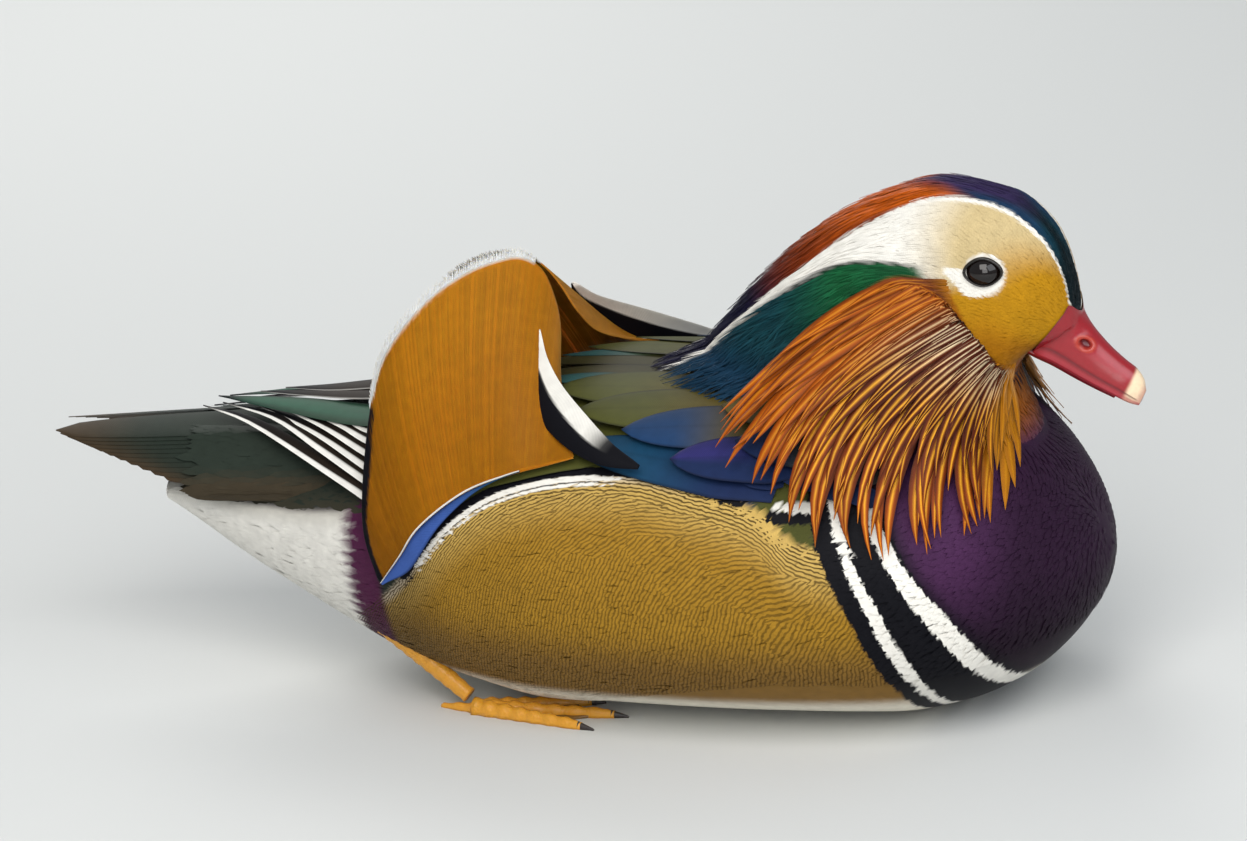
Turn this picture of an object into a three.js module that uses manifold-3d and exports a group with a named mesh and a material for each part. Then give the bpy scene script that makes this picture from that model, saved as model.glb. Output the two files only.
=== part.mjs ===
// A drake mandarin duck, life size, sitting on its belly with its feet tucked under.
// Millimetres. +X is forward, +Y is the bird's left, +Z is up, and the floor is z = 0.
import * as THREE from "three";
import { mergeVertices } from "three/addons/utils/BufferGeometryUtils.js";
import Module from "manifold-3d";

const wasm = await Module();
wasm.setup();
const { Manifold, Mesh: SolidMesh } = wasm;

// Driving dimensions of the body.
const BREAST_X = 137; // foremost point of the breast
const VENT_X = -166; // end of the flesh under the tail
const TAIL_TIP_X = -202; // tips of the middle tail feathers
const GAP = 0.3; // between touching nodes

const RIGHT = -1;
const LEFT = 1;
const SIDES = [
  ["right", RIGHT],
  ["left", LEFT],
];

// Colours as red, green and blue in hexadecimal, with each surface's roughness.
const FINISH = {
  purple: [0x2c1630, 0.55],
  chestnut: [0x9a3f12, 0.55],
  cream: [0xe8dcc0, 0.6],
  green: [0x14584a, 0.45],
  hackle: [0xc8641a, 0.55],
  olive: [0x5c5836, 0.5],
  orange: [0xc07a12, 0.5],
  black: [0x14121c, 0.5],
  brown: [0x4a4434, 0.55],
  red: [0xa81828, 0.35],
  yellow: [0xd89a28, 0.45],
  eye: [0x100c0c, 0.05],
};

// General helpers

const vec = (x, y, z) => new THREE.Vector3(x, y, z);
const mix = THREE.MathUtils.lerp;
const clamp = THREE.MathUtils.clamp;
const ease = (t) => t * t * (3 - 2 * t);

// Repeatable numbers from 0 to 1.
function randomFrom(seed) {
  let state = seed;
  return () => {
    state = (state * 1664525 + 1013904223) % 4294967296;
    return state / 4294967296;
  };
}

// A smooth function through a few [place, value] points, with no overshoot.
function through(points) {
  const at = points.map((p) => p[0]);
  const value = points.map((p) => p[1]);
  const last = points.length - 1;
  const rise = (i) => (value[i + 1] - value[i]) / (at[i + 1] - at[i]);
  const slope = value.map((_, i) => {
    if (i === 0) return rise(0);
    if (i === last) return rise(last - 1);
    const [before, after] = [rise(i - 1), rise(i)];
    return before * after <= 0 ? 0 : (2 * before * after) / (before + after);
  });
  return (x) => {
    let i = 0;
    while (i < last - 1 && x > at[i + 1]) i += 1;
    const span = at[i + 1] - at[i];
    const t = clamp((x - at[i]) / span, 0, 1);
    const t2 = t * t;
    const t3 = t2 * t;
    return (
      (2 * t3 - 3 * t2 + 1) * value[i] +
      (t3 - 2 * t2 + t) * span * slope[i] +
      (3 * t2 - 2 * t3) * value[i + 1] +
      (t3 - t2) * span * slope[i + 1]
    );
  };
}

// A closed solid from vertices and triangles, turned to face outwards.
function solid(points, triangles) {
  const positions = new Float32Array(points.flatMap((p) => [p.x, p.y, p.z]));
  const faces = new Uint32Array(triangles.flat());
  const made = new Manifold(new SolidMesh({ numProp: 3, vertProperties: positions, triVerts: faces }));
  if (made.volume() >= 0) return made;
  return solid(points, triangles.map(([a, b, c]) => [a, c, b]));
}

// A three.js geometry as a solid.
function solidOf(geometry) {
  const bare = geometry.clone();
  bare.deleteAttribute("normal");
  bare.deleteAttribute("uv");
  const merged = mergeVertices(bare, 1e-4);
  const place = merged.attributes.position;
  const points = Array.from({ length: place.count }, (_, i) => vec(place.getX(i), place.getY(i), place.getZ(i)));
  const index = Array.from(merged.index.array);
  const triangles = [];
  for (let i = 0; i < index.length; i += 3) triangles.push(index.slice(i, i + 3));
  return solid(points, triangles.filter(([a, b, c]) => a !== b && b !== c && a !== c));
}

// A skin over rings of points, closed at both ends.
function loft(rings) {
  const around = rings[0].length;
  const points = rings.flat();
  const triangles = [];
  for (let i = 0; i + 1 < rings.length; i += 1) {
    for (let j = 0; j < around; j += 1) {
      const k = (j + 1) % around;
      const [a, b, c, d] = [i * around + j, i * around + k, (i + 1) * around + k, (i + 1) * around + j];
      triangles.push([a, b, c], [a, c, d]);
    }
  }
  for (const [ring, turned] of [[0, true], [rings.length - 1, false]]) {
    const centre = rings[ring].reduce((sum, p) => sum.add(p), vec(0, 0, 0)).divideScalar(around);
    points.push(centre);
    const c = points.length - 1;
    for (let j = 0; j < around; j += 1) {
      const [a, b] = [ring * around + j, ring * around + ((j + 1) % around)];
      triangles.push(turned ? [c, b, a] : [c, a, b]);
    }
  }
  return solid(points, triangles);
}

// A thin closed sheet between two faces that share one grid, split into triangles alike.
function sheet(lower, upper) {
  const rows = lower.length;
  const columns = lower[0].length;
  const points = [...lower.flat(), ...upper.flat()];
  const size = rows * columns;
  const at = (i, j) => i * columns + j;
  const triangles = [];
  for (let i = 0; i + 1 < rows; i += 1) {
    for (let j = 0; j + 1 < columns; j += 1) {
      const [a, b, c, d] = [at(i, j), at(i + 1, j), at(i + 1, j + 1), at(i, j + 1)];
      triangles.push([a + size, b + size, c + size], [a + size, c + size, d + size]);
      triangles.push([a, c, b], [a, d, c]);
    }
  }
  const rim = [];
  for (let i = 0; i + 1 < rows; i += 1) rim.push([at(i, 0), at(i + 1, 0)]);
  for (let j = 0; j + 1 < columns; j += 1) rim.push([at(rows - 1, j), at(rows - 1, j + 1)]);
  for (let i = rows - 1; i > 0; i -= 1) rim.push([at(i, columns - 1), at(i - 1, columns - 1)]);
  for (let j = columns - 1; j > 0; j -= 1) rim.push([at(0, j), at(0, j - 1)]);
  for (const [a, b] of rim) triangles.push([a, b, b + size], [a, b + size, a + size]);
  return solid(points, triangles);
}

const join = (pieces) => Manifold.union(pieces);

// The piece without the others, as its largest closed body.
function without(piece, ...others) {
  const cut = others.reduce((left, other) => left.subtract(other), piece);
  const bodies = cut.decompose();
  return bodies.reduce((best, body) => (body.volume() > best.volume() ? body : best));
}

// One vane or lock: a thin tapered blade along a path.
// normal(t) is its outer side, halfWidth(t) and thickness(t) are in mm, and cup lowers its edges.
function blade({ path, normal, halfWidth, thickness, cup = 0, rows = 4, columns = 1, grow = 0 }) {
  const lower = [];
  const upper = [];
  for (let i = 0; i <= rows; i += 1) {
    const t = i / rows;
    const along = path.getTangent(t);
    const past = i === 0 ? -grow : i === rows ? grow : 0;
    const centre = path.getPoint(t).addScaledVector(along, past);
    const out = normal(t).clone();
    out.addScaledVector(along, -out.dot(along)).normalize();
    const across = new THREE.Vector3().crossVectors(out, along);
    const half = halfWidth(t) + grow;
    const deep = thickness(t) / 2 + grow;
    const low = [];
    const high = [];
    for (let j = 0; j <= columns; j += 1) {
      const v = (2 * j) / columns - 1;
      const middle = centre.clone().addScaledVector(across, v * half).addScaledVector(out, -cup * v * v);
      low.push(middle.clone().addScaledVector(out, -deep));
      high.push(middle.clone().addScaledVector(out, deep));
    }
    lower.push(low);
    upper.push(high);
  }
  return sheet(lower, upper);
}

// A feather laid over a surface from its root to its tip, both given in that surface's own two measures.
// heights are how far it stands off at its root, at 0.4 of its length and at its tip.
function laid(surface, { root, tip, half, heights, outline, thickness, cup = 0, rows = 5, columns = 1 }, grow) {
  const at = (t) => [mix(root[0], tip[0], t), mix(root[1], tip[1], t)];
  const height = through([[0, heights[0]], [0.4, heights[1]], [1, heights[2]]]);
  const path = bend(...[0, 0.25, 0.5, 0.75, 1].map((t) => surface.point(...at(t), height(t))));
  const normal = (t) => surface.normal(...at(t));
  return blade({ path, normal, halfWidth: outline(half), thickness, cup, rows, columns, grow });
}

// The dense layer that a node's feathers grow from, between two heights over a surface.
function coreOver(surface, { at, steps, columns, under, over }, grow) {
  const lower = [];
  const upper = [];
  for (let i = 0; i <= steps; i += 1) {
    const low = [];
    const high = [];
    for (let j = 0; j <= columns; j += 1) {
      const [u, v] = at(i / steps, j / columns);
      low.push(surface.point(u, v, under - grow));
      high.push(surface.point(u, v, over(i / steps, j / columns) + grow));
    }
    lower.push(low);
    upper.push(high);
  }
  return sheet(lower, upper);
}

const bend = (...points) => new THREE.CatmullRomCurve3(points, false, "centripetal");

// Outline of a feather: full soon after the root, rounded or pointed at the tip, or widest late as in a hackle.
// Each gives the share of the full half width, from the root at t = 0 to the tip at t = 1.
const outlineOf = (least, share) => (half) => (t) => half * Math.max(least, share(t));
const roundVane = outlineOf(0.16, (t) => Math.min(1, 0.55 + 1.6 * t) * Math.sqrt(Math.max(0, 1 - t ** 5)));
const pointedVane = outlineOf(0.07, (t) => Math.min(1, 0.6 + 1.5 * t) * (1 - t ** 2.6));
const hackleVane = outlineOf(0.12, (t) => (0.8 + 0.35 * t) * (1 - t ** 2.8));
const taper = (root, tip) => (t) => mix(root, tip, t);

// Thickness of the feathers in mm, from root to tip.
const THICK = {
  plume: taper(0.95, 0.6),
  hackle: taper(0.9, 0.6),
  covert: taper(0.8, 0.6),
  quill: taper(0.8, 0.55),
  tail: taper(0.85, 0.6),
  sickle: taper(1.2, 0.8),
  sail: taper(1.4, 0.8),
};

// Torso, as sections across X.

const FLOOR_SINK = 1.6; // how far the round of the belly is cut flat at the floor
const beam = through([
  [VENT_X, 9], [-150, 15], [-139, 20], [-110, 35], [-79, 50], [-52, 61],
  [-20, 69], [23, 72.5], [50, 71], [74, 67], [94, 60], [114, 46], [127, 30], [134, 15], [BREAST_X, 2],
]);
const backLine = through([
  [VENT_X, 62], [-139, 67], [-120, 72], [-100, 79], [-80, 87], [-60, 94], [-40, 98.5], [-20, 100.5], [0, 101],
  [40, 101.5], [80, 99.5], [104, 94], [115, 85], [124, 75], [131, 64], [135, 55], [BREAST_X, 48],
]);
const sideLine = through([
  [VENT_X, 58], [-139, 57], [-110, 56], [-60, 53], [0, 50], [60, 48], [110, 47], [BREAST_X, 46.5],
]);
const keelLine = through([
  [VENT_X, 54], [-139, 36], [-120, 26], [-100, 16], [-80, 7.5], [-60, 2.5], [-35, -FLOOR_SINK],
  [75, -FLOOR_SINK], [96, 2], [112, 9], [125, 20], [133, 32], [136, 41], [BREAST_X, 45],
]);
const UPPER_ROUNDNESS = 2.15;
const LOWER_ROUNDNESS = 2.3;

// A point of the torso. turn runs from 0 on the back to 1 on the keel, and side is RIGHT or LEFT.
function torsoPoint(x, turn, side, grow = 0) {
  const angle = turn * Math.PI;
  const up = Math.cos(angle);
  const out = Math.sin(angle);
  const power = 2 / (up >= 0 ? UPPER_ROUNDNESS : LOWER_ROUNDNESS);
  const wide = beam(x) + grow;
  const side_z = sideLine(x);
  const tall = up >= 0 ? backLine(x) + grow - side_z : side_z - keelLine(x) + grow;
  return vec(x, side * wide * out ** power, side_z + Math.sign(up) * tall * Math.abs(up) ** power);
}

function torsoNormal(x, turn, side) {
  const [step, swing] = [0.5, 0.004];
  const along = torsoPoint(x + step, turn, side).sub(torsoPoint(x - step, turn, side));
  const round = torsoPoint(x, Math.min(1, turn + swing), side).sub(torsoPoint(x, Math.max(0, turn - swing), side));
  return along.cross(round).multiplyScalar(side).normalize();
}

// A point held clear of the torso by a height along its normal.
const onTorso = (x, turn, side, height) =>
  torsoPoint(x, turn, side).addScaledVector(torsoNormal(x, turn, side), height);

// Where round the torso a point lies that is so many mm from the ridge of the back.
function turnAt(x, distance) {
  const [steps, reach] = [40, 0.6];
  let walked = 0;
  let before = torsoPoint(x, 0, LEFT);
  for (let i = 1; i <= steps; i += 1) {
    const here = torsoPoint(x, (i / steps) * reach, LEFT);
    const step = here.distanceTo(before);
    if (walked + step >= distance) return ((i - 1 + (distance - walked) / step) / steps) * reach;
    walked += step;
    before = here;
  }
  return reach;
}

// The torso as a surface measured by x and by the distance from the ridge.
const overTorso = (side) => ({
  point: (x, distance, height) => onTorso(x, turnAt(x, distance), side, height),
  normal: (x, distance) => torsoNormal(x, turnAt(x, distance), side),
});

const TORSO_RINGS = 22;
const TORSO_AROUND = 22;

function torsoSolid(grow = 0) {
  const rings = [];
  for (let i = 0; i <= TORSO_RINGS; i += 1) {
    // Rings crowd towards both round ends.
    const share = i / TORSO_RINGS;
    const eased = mix(share, (1 - Math.cos(share * Math.PI)) / 2, 0.75);
    const x = mix(VENT_X, BREAST_X, eased);
    const ring = [];
    for (let j = 0; j < TORSO_AROUND; j += 1) {
      const round = (2 * j) / TORSO_AROUND;
      const turn = round <= 1 ? round : 2 - round;
      ring.push(torsoPoint(x, turn, round <= 1 ? RIGHT : LEFT, grow));
    }
    rings.push(ring);
  }
  rings[0].forEach((p) => (p.x -= grow));
  rings[TORSO_RINGS].forEach((p) => (p.x += grow));
  return loft(rings).trimByPlane([0, 0, 1], 0);
}

// Head and neck, as one bent form. Each section is a slice from the throat to the crown or nape.

// Throat side and crown side of each slice, as [x, z], with its half width and where it is widest.
const SLICES = [
  { throat: [119, 114], crown: [131.5, 121.5], half: 8.6, widest: 0.5 },
  { throat: [114.5, 110.5], crown: [130, 134], half: 12.5, widest: 0.42 },
  { throat: [111.5, 107.5], crown: [125.5, 148.5], half: 16.2, widest: 0.44 },
  { throat: [110, 105], crown: [112.5, 160.5], half: 18.8, widest: 0.44 },
  { throat: [109.5, 103], crown: [92, 164], half: 19.6, widest: 0.46 },
  { throat: [110, 101], crown: [68, 156.5], half: 20.5, widest: 0.46 },
  { throat: [111, 98], crown: [45, 141.5], half: 22.5, widest: 0.42 },
  { throat: [112, 94], crown: [26, 123], half: 26, widest: 0.4 },
  { throat: [114, 90], crown: [13, 107], half: 30, widest: 0.4 },
  { throat: [116, 84], crown: [8, 95], half: 34, widest: 0.45 },
];
const SLICE_LAST = SLICES.length - 1;
const NECK_ROUNDNESS = 2.25;
const NECK_AROUND = 18;
const NECK_RINGS = { neck: 9, head: 12, neckGrown: 18, headGrown: 14 };
const sliceCurve = (pick) => through(SLICES.map((s, i) => [i, pick(s)]));
const throatX = sliceCurve((s) => s.throat[0]);
const throatZ = sliceCurve((s) => s.throat[1]);
const crownX = sliceCurve((s) => s.crown[0]);
const crownZ = sliceCurve((s) => s.crown[1]);
const sliceHalf = sliceCurve((s) => s.half);
const sliceWidest = sliceCurve((s) => s.widest);

// A point of the head or neck. slice runs from 0 at the bill to SLICE_LAST, rise from 0 at the throat to 1 at the crown.
function neckPoint(slice, rise, side, grow = 0) {
  const low = vec(throatX(slice), 0, throatZ(slice));
  const high = vec(crownX(slice), 0, crownZ(slice));
  const up = high.clone().sub(low);
  const tall = up.length();
  up.normalize();
  const widest = sliceWidest(slice);
  const angle = (1 - rise) * Math.PI;
  const c = Math.cos(angle);
  const from = tall * widest;
  const reach = (c >= 0 ? tall * (1 - widest) : tall * widest) + grow;
  const power = 2 / NECK_ROUNDNESS;
  const out = (sliceHalf(slice) + grow) * Math.sin(angle) ** power;
  return low.addScaledVector(up, from + Math.sign(c) * reach * Math.abs(c) ** power).add(vec(0, side * out, 0));
}

function neckNormal(slice, rise, side) {
  const [step, swing] = [0.04, 0.004];
  const along = neckPoint(slice + step, rise, side).sub(neckPoint(slice - step, rise, side));
  const round = neckPoint(slice, Math.min(1, rise + swing), side).sub(neckPoint(slice, Math.max(0, rise - swing), side));
  return along.cross(round).multiplyScalar(side).normalize();
}

const onNeck = (slice, rise, side, height) =>
  neckPoint(slice, rise, side).addScaledVector(neckNormal(slice, rise, side), height);

// The head and neck as a surface measured by the slice and by how far off the crown line it is, left positive.
const overNeck = {
  point: (slice, off, height) => onNeck(slice, 1 - Math.abs(off), off < 0 ? RIGHT : LEFT, height),
  normal: (slice, off) => neckNormal(slice, 1 - Math.abs(off), off < 0 ? RIGHT : LEFT),
};

// startGap parts the first section from the plane of its slice by that much.
function neckSolid(from, to, rings, { grow = 0, startGap = 0 } = {}) {
  const made = [];
  for (let i = 0; i <= rings; i += 1) {
    const slice = mix(from, to, i / rings);
    const ring = [];
    for (let j = 0; j < NECK_AROUND; j += 1) {
      const round = (2 * j) / NECK_AROUND;
      const rise = round <= 1 ? round : 2 - round;
      ring.push(neckPoint(slice, rise, round <= 1 ? RIGHT : LEFT, grow));
    }
    made.push(ring);
  }
  const rearward = vec(throatZ(from) - crownZ(from), 0, crownX(from) - throatX(from)).normalize();
  made[0].forEach((p) => p.addScaledVector(rearward, startGap));
  return loft(made);
}

const HEAD_END = 4.6; // the slice where the head is parted from the neck

// Bill: sections from inside the face to the nail, each from the culmen down to the mouth line.
const BILL_SLICES = [
  { top: [127.5, 126.5], mouth: [112.5, 116], half: 9 },
  { top: [132.4, 121.6], mouth: [118.5, 112], half: 8.7 },
  { top: [136.2, 116.3], mouth: [124.5, 108.6], half: 7.7 },
  { top: [140.2, 111.6], mouth: [130.5, 104.7], half: 6.8 },
  { top: [144.2, 107.8], mouth: [136.5, 101.1], half: 6.1 },
  { top: [147.6, 104.9], mouth: [141.8, 98.1], half: 5.5 },
  { top: [149.6, 101.4], mouth: [145.6, 95.6], half: 4.1 },
  { top: [150, 98.2], mouth: [148, 94.2], half: 2.2 },
];
const MOUTH_GAP = 0.35;
const LOWER_DEPTH = through([[0, 3.4], [3, 2.8], [5, 2.0]]);
const LOWER_SLICES = 6; // the lower bill ends behind the nail
const LOWER_INSET = 0.8; // how much narrower it is on each side
const BILL_ARCH = 0.85; // below 1 the sections are fuller than half rounds
const BILL_SHOULDER = 0.9; // and this much narrower halfway up

// A loft of half-round sections over the mouth line, or under it where under is true.
function billSolid({ under = false, grow = 0 } = {}) {
  const slices = under ? BILL_SLICES.slice(0, LOWER_SLICES) : BILL_SLICES;
  const arc = 8;
  const rings = slices.map(({ top, mouth, half }, i) => {
    const low = vec(mouth[0], 0, mouth[1]);
    const up = vec(top[0] - mouth[0], 0, top[1] - mouth[1]);
    const tall = under ? LOWER_DEPTH(i) : up.length();
    up.normalize();
    const wide = (under ? half - LOWER_INSET : half) + grow;
    const ring = [];
    for (let j = 0; j <= arc; j += 1) {
      const angle = (j / arc) * Math.PI;
      const height = (tall + grow) * Math.sin(angle) ** BILL_ARCH;
      const out = -Math.cos(angle) * wide * mix(1, BILL_SHOULDER, Math.sin(angle) * Math.abs(Math.cos(angle)));
      const base = under ? -MOUTH_GAP - height : height - grow * (j === 0 || j === arc ? 1 : 0);
      ring.push(low.clone().addScaledVector(up, base).add(vec(0, out, 0)));
    }
    // The flat side, a little hollow.
    ring.push(low.clone().addScaledVector(up, under ? grow - MOUTH_GAP : -grow));
    return ring;
  });
  rings[0].forEach((p) => p.add(vec(-grow, 0, grow)));
  return loft(rings);
}

// Eyes and lids.
const EYE = { slice: 3.43, rise: 0.6, radius: 6.4, proud: 2.2, deep: 3.2 };
const EYE_BACK = { radius: 4.2, seatDeep: 1, seatRadius: 5.3 }; // the flat back and the widest part behind the lids
const DOME_STEPS = [0, 1.1, 1.8]; // how far out the rings of the cornea lie
const CORNEA_TIP = 0.4;
const LID = { radius: 5.4, tube: 0.85, tall: 0.86, sides: 4 };
const EYE_AROUND = 12;

// The front of the eyeball, from a flat back inside the head to the round cornea.
function eyeSolid(side, grow = 0) {
  const look = neckNormal(EYE.slice, EYE.rise, side);
  const seat = onNeck(EYE.slice, EYE.rise, side, 0);
  const up = vec(0, 0, 1).addScaledVector(look, -look.z).normalize();
  const across = new THREE.Vector3().crossVectors(up, look);
  const dome = (out) => Math.sqrt(EYE.radius ** 2 - (EYE.radius - EYE.proud + out) ** 2);
  const profile = [
    [-EYE.deep - grow, EYE_BACK.radius],
    [-EYE_BACK.seatDeep, EYE_BACK.seatRadius],
    ...DOME_STEPS.map((out) => [out, dome(out)]),
    [EYE.proud + grow, CORNEA_TIP],
  ];
  const rings = profile.map(([out, radius]) =>
    Array.from({ length: EYE_AROUND }, (_, j) => {
      const angle = (j / EYE_AROUND) * 2 * Math.PI;
      return seat.clone().addScaledVector(look, out)
        .addScaledVector(across, (radius + grow) * Math.cos(angle))
        .addScaledVector(up, (radius + grow) * LID.tall * Math.sin(angle));
    }),
  );
  return loft(rings);
}

// The upper and lower lid as one rim round the eye, standing a little proud of the face.
function lidRim(side) {
  const look = neckNormal(EYE.slice, EYE.rise, side);
  const rim = new THREE.TorusGeometry(LID.radius, LID.tube, LID.sides, EYE_AROUND);
  rim.scale(1, LID.tall, 1);
  rim.lookAt(look);
  const seat = onNeck(EYE.slice, EYE.rise, side, 0);
  return solidOf(rim.translate(seat.x, seat.y, seat.z));
}

// Crest: long plumes from the forehead over the nape, each tier over the next.
// Each tier has its first and last slice and how far off the crown line its plumes lie.
const CREST_TIERS = [
  { from: 1.25, to: 3.2, offs: [-0.07, 0.07], half: 3.6, tall: [1.1, 1.6, 2.5] },
  { from: 2.2, to: 4.3, offs: [-0.1, 0, 0.1], half: 3.2, tall: [1.1, 1.4, 3.3] },
  { from: 3.2, to: 5.3, offs: [-0.055, 0.055], half: 3.6, tall: [1.1, 1.9, 3.7] },
  { from: 4.2, to: 6.4, offs: [-0.1, 0, 0.1], half: 3.3, tall: [1.1, 2.3, 3.9] },
  { from: 5.2, to: 7.4, offs: [-0.055, 0.055], half: 3.6, tall: [1.1, 2.3, 3.9] },
  { from: 6.1, to: 8.5, offs: [-0.1, 0, 0.1], half: 3.3, tall: [1.1, 2.2, 3.4] },
];
const CREST_CORE = { from: 1.5, to: 6.6, off: 0.14, under: 0.8, frontThick: 1.3, thick: 1.5, frontShare: 1 / 6 };
const CREST_SIDE = { shorter: 0.9, spread: 1.05 }; // the side plumes end sooner and lean outwards

function crestSolid(grow = 0) {
  const core = coreOver(overNeck, {
    at: (t, s) => [mix(CREST_CORE.from, CREST_CORE.to, t), (2 * s - 1) * CREST_CORE.off],
    steps: 9,
    columns: 4,
    under: CREST_CORE.under,
    over: (t) => mix(CREST_CORE.frontThick, CREST_CORE.thick, ease(Math.min(1, t / CREST_CORE.frontShare))),
  }, grow);
  const plumes = CREST_TIERS.flatMap(({ from, to, offs, half, tall }) =>
    offs.map((off) =>
      laid(overNeck, {
        root: [from, off],
        tip: [to - CREST_SIDE.shorter * Math.abs(off), off * CREST_SIDE.spread],
        half,
        heights: tall,
        outline: pointedVane,
        thickness: THICK.plume,
        rows: 4,
      }, grow),
    ),
  );
  return join([core, ...plumes]);
}

// Side plumes: the white brow's long feathers above and the green neck feathers below.
const PLUME_TIERS = [
  { from: 4.95, to: 6.6, offs: [0.22, 0.3, 0.38] },
  { from: 5.85, to: 7.5, offs: [0.26, 0.34] },
  { from: 6.75, to: 8.5, offs: [0.22, 0.3, 0.38] },
];
const PLUME = { half: 3, tall: [0.9, 1.9, 2.8] };
const PLUME_CORE = { from: 4.75, to: 7.1, top: 0.17, bottom: 0.4, under: 0.6, thick: 1.3 };

function plumeSolid(side, grow = 0) {
  const core = coreOver(overNeck, {
    at: (t, s) => [mix(PLUME_CORE.from, PLUME_CORE.to, t), side * mix(PLUME_CORE.top, PLUME_CORE.bottom, s)],
    steps: 6,
    columns: 3,
    under: PLUME_CORE.under,
    over: () => PLUME_CORE.thick,
  }, grow);
  const plumes = PLUME_TIERS.flatMap(({ from, to, offs }) =>
    offs.map((off) =>
      laid(overNeck, {
        root: [from, side * off],
        tip: [to, side * off],
        half: PLUME.half,
        heights: PLUME.tall,
        outline: pointedVane,
        thickness: THICK.plume,
        rows: 4,
      }, grow),
    ),
  );
  return join([core, ...plumes]);
}

// Ruff: hackles that fan from behind and below the cheek, over the neck to the breast side.
// Each line goes through [x, y, z] across the fan, from behind the eye to the chin.
const fanLine = (points) => bend(...points.map(([x, y, z]) => vec(x, y, z)));
const RUFF_ROOTS = fanLine([[80, 22.5, 140], [91, 22, 135], [99, 21, 126], [104, 19, 117.5], [107, 15, 110.5], [110, 9, 104]]);
const RUFF_MIDDLES = fanLine([[54, 28, 124.5], [57, 38, 113], [68, 44, 103.5], [82, 45, 97.5], [98, 40, 92.5], [112.5, 18, 89.5]]);
const RUFF_TIPS = fanLine([[28, 43, 100.5], [36, 56.5, 93.5], [48, 65, 84.5], [62, 66.5, 76.5], [76, 63.5, 71.5], [91, 60, 68.5],
  [105.3, 49, 68.7], [117.5, 32, 73.5]]);
// Each tier's share of the way from root line to tip line, how many locks it has and how far they stand off.
const RUFF_TIERS = [
  { from: 0.38, to: 1, count: 12, half: 3, tall: [0.3, 1.2, 2.0] },
  { from: 0.19, to: 0.82, count: 11, half: 2.7, tall: [0.2, 1.9, 3.2] },
  { from: 0.01, to: 0.6, count: 8, half: 2.5, tall: [0.2, 2.1, 3.9] },
];
const RUFF_CORE = { inset: 0.015, reach: 0.43, under: -1.1, rootThick: 0.8, edgeThick: 0.5 };
const RUFF_LOOSE = { root: 0.12, tip: 0.3, length: 0.06 }; // how far the locks stray, as shares of their spacing
const RUFF_RIM = 0.01;

// The fan as a surface measured by the share across it and the share of the way to the tips.
function overRuff(side) {
  const onLine = (line, share) => {
    const p = line.getPoint(clamp(share, 0, 1));
    return vec(p.x, p.y * side, p.z);
  };
  const flat = (share, way) =>
    bend(onLine(RUFF_ROOTS, share), onLine(RUFF_MIDDLES, share), onLine(RUFF_TIPS, share)).getPoint(clamp(way, 0, 1));
  const normal = (share, way) => {
    const [step, reach] = [0.04, 0.05];
    const along = flat(share, way + reach).sub(flat(share, way - reach));
    const across = flat(Math.min(1, share + step), way).sub(flat(Math.max(0, share - step), way));
    const out = along.cross(across).normalize();
    return out.y * side < 0 ? out.negate() : out;
  };
  return { point: (share, way, height) => flat(share, way).addScaledVector(normal(share, way), height), normal };
}

function ruffSolid(side, grow = 0) {
  const random = randomFrom(side === RIGHT ? 31 : 32);
  const surface = overRuff(side);
  const core = coreOver(surface, {
    at: (t, s) => [mix(RUFF_CORE.inset, 1 - RUFF_CORE.inset, t), s * RUFF_CORE.reach],
    steps: 9,
    columns: 2,
    under: RUFF_CORE.under,
    over: (t, s) => mix(RUFF_CORE.rootThick, RUFF_CORE.edgeThick, s),
  }, grow);
  const locks = [];
  for (const { from, to, count, half, tall } of RUFF_TIERS) {
    for (let k = 0; k < count; k += 1) {
      const share = (k + 0.5) / count + (RUFF_LOOSE.root * (random() - 0.5)) / count;
      const sway = (RUFF_LOOSE.tip * (random() - 0.5)) / count;
      const tip = to - RUFF_LOOSE.length * random() * (to - from);
      locks.push(
        laid(surface, {
          root: [share, from],
          tip: [clamp(share + sway, RUFF_RIM, 1 - RUFF_RIM), tip],
          half,
          heights: tall,
          outline: hackleVane,
          thickness: THICK.hackle,
          rows: 3,
        }, grow),
      );
    }
  }
  return join([core, ...locks]);
}

// How far from the ridge the flank's upper edge runs, which is where the folded wing goes in under it.
const flankEdge = through([[-77, 72.5], [-58, 61], [-44, 57], [-30, 55], [-13, 54], [4, 55.5], [18, 58], [44, 68], [66, 70]]);

// Folded wing: scapulars and coverts over the back and side, from the lowest layer to the top one.
// Root and tip are [x, distance from the ridge of the back].
const WING_FEATHERS = [
  { root: [8, 13], tip: [-33, 13], half: 7, heights: [1.1, 1.5, 1.8] },
  { root: [34, 53], tip: [-13, 45], half: 8.5, heights: [1.3, 2.0, 2.4] },
  { root: [6, 51], tip: [-52, 52], half: 5, heights: [1.1, 1.4, 1.6] },
  { root: [2, 6.5], tip: [-41, 6], half: 5.8, heights: [1.8, 2.9, 3.4] },
  { root: [18, 23], tip: [-25, 25], half: 11, heights: [1.3, 2.6, 3.0] },
  { root: [50, 40], tip: [-2, 43], half: 10.5, heights: [1.3, 3.3, 4.0] },
  { root: [66, 57], tip: [18, 54], half: 10, heights: [1.3, 3.4, 4.6] },
];
const WING_CORE = { nearRidge: 1.5, low: 0.97, under: 1.0, thick: 1.7 };
// Its front edge runs from the neck out to the shoulder, and its back edge is nearly square to the ridge.
const WING_CORE_X = { neck: 6, shoulder: 66, sweep: 1.25, backTop: -4, backLow: -6 };
const COVERT_CUP = 0.8;

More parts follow.
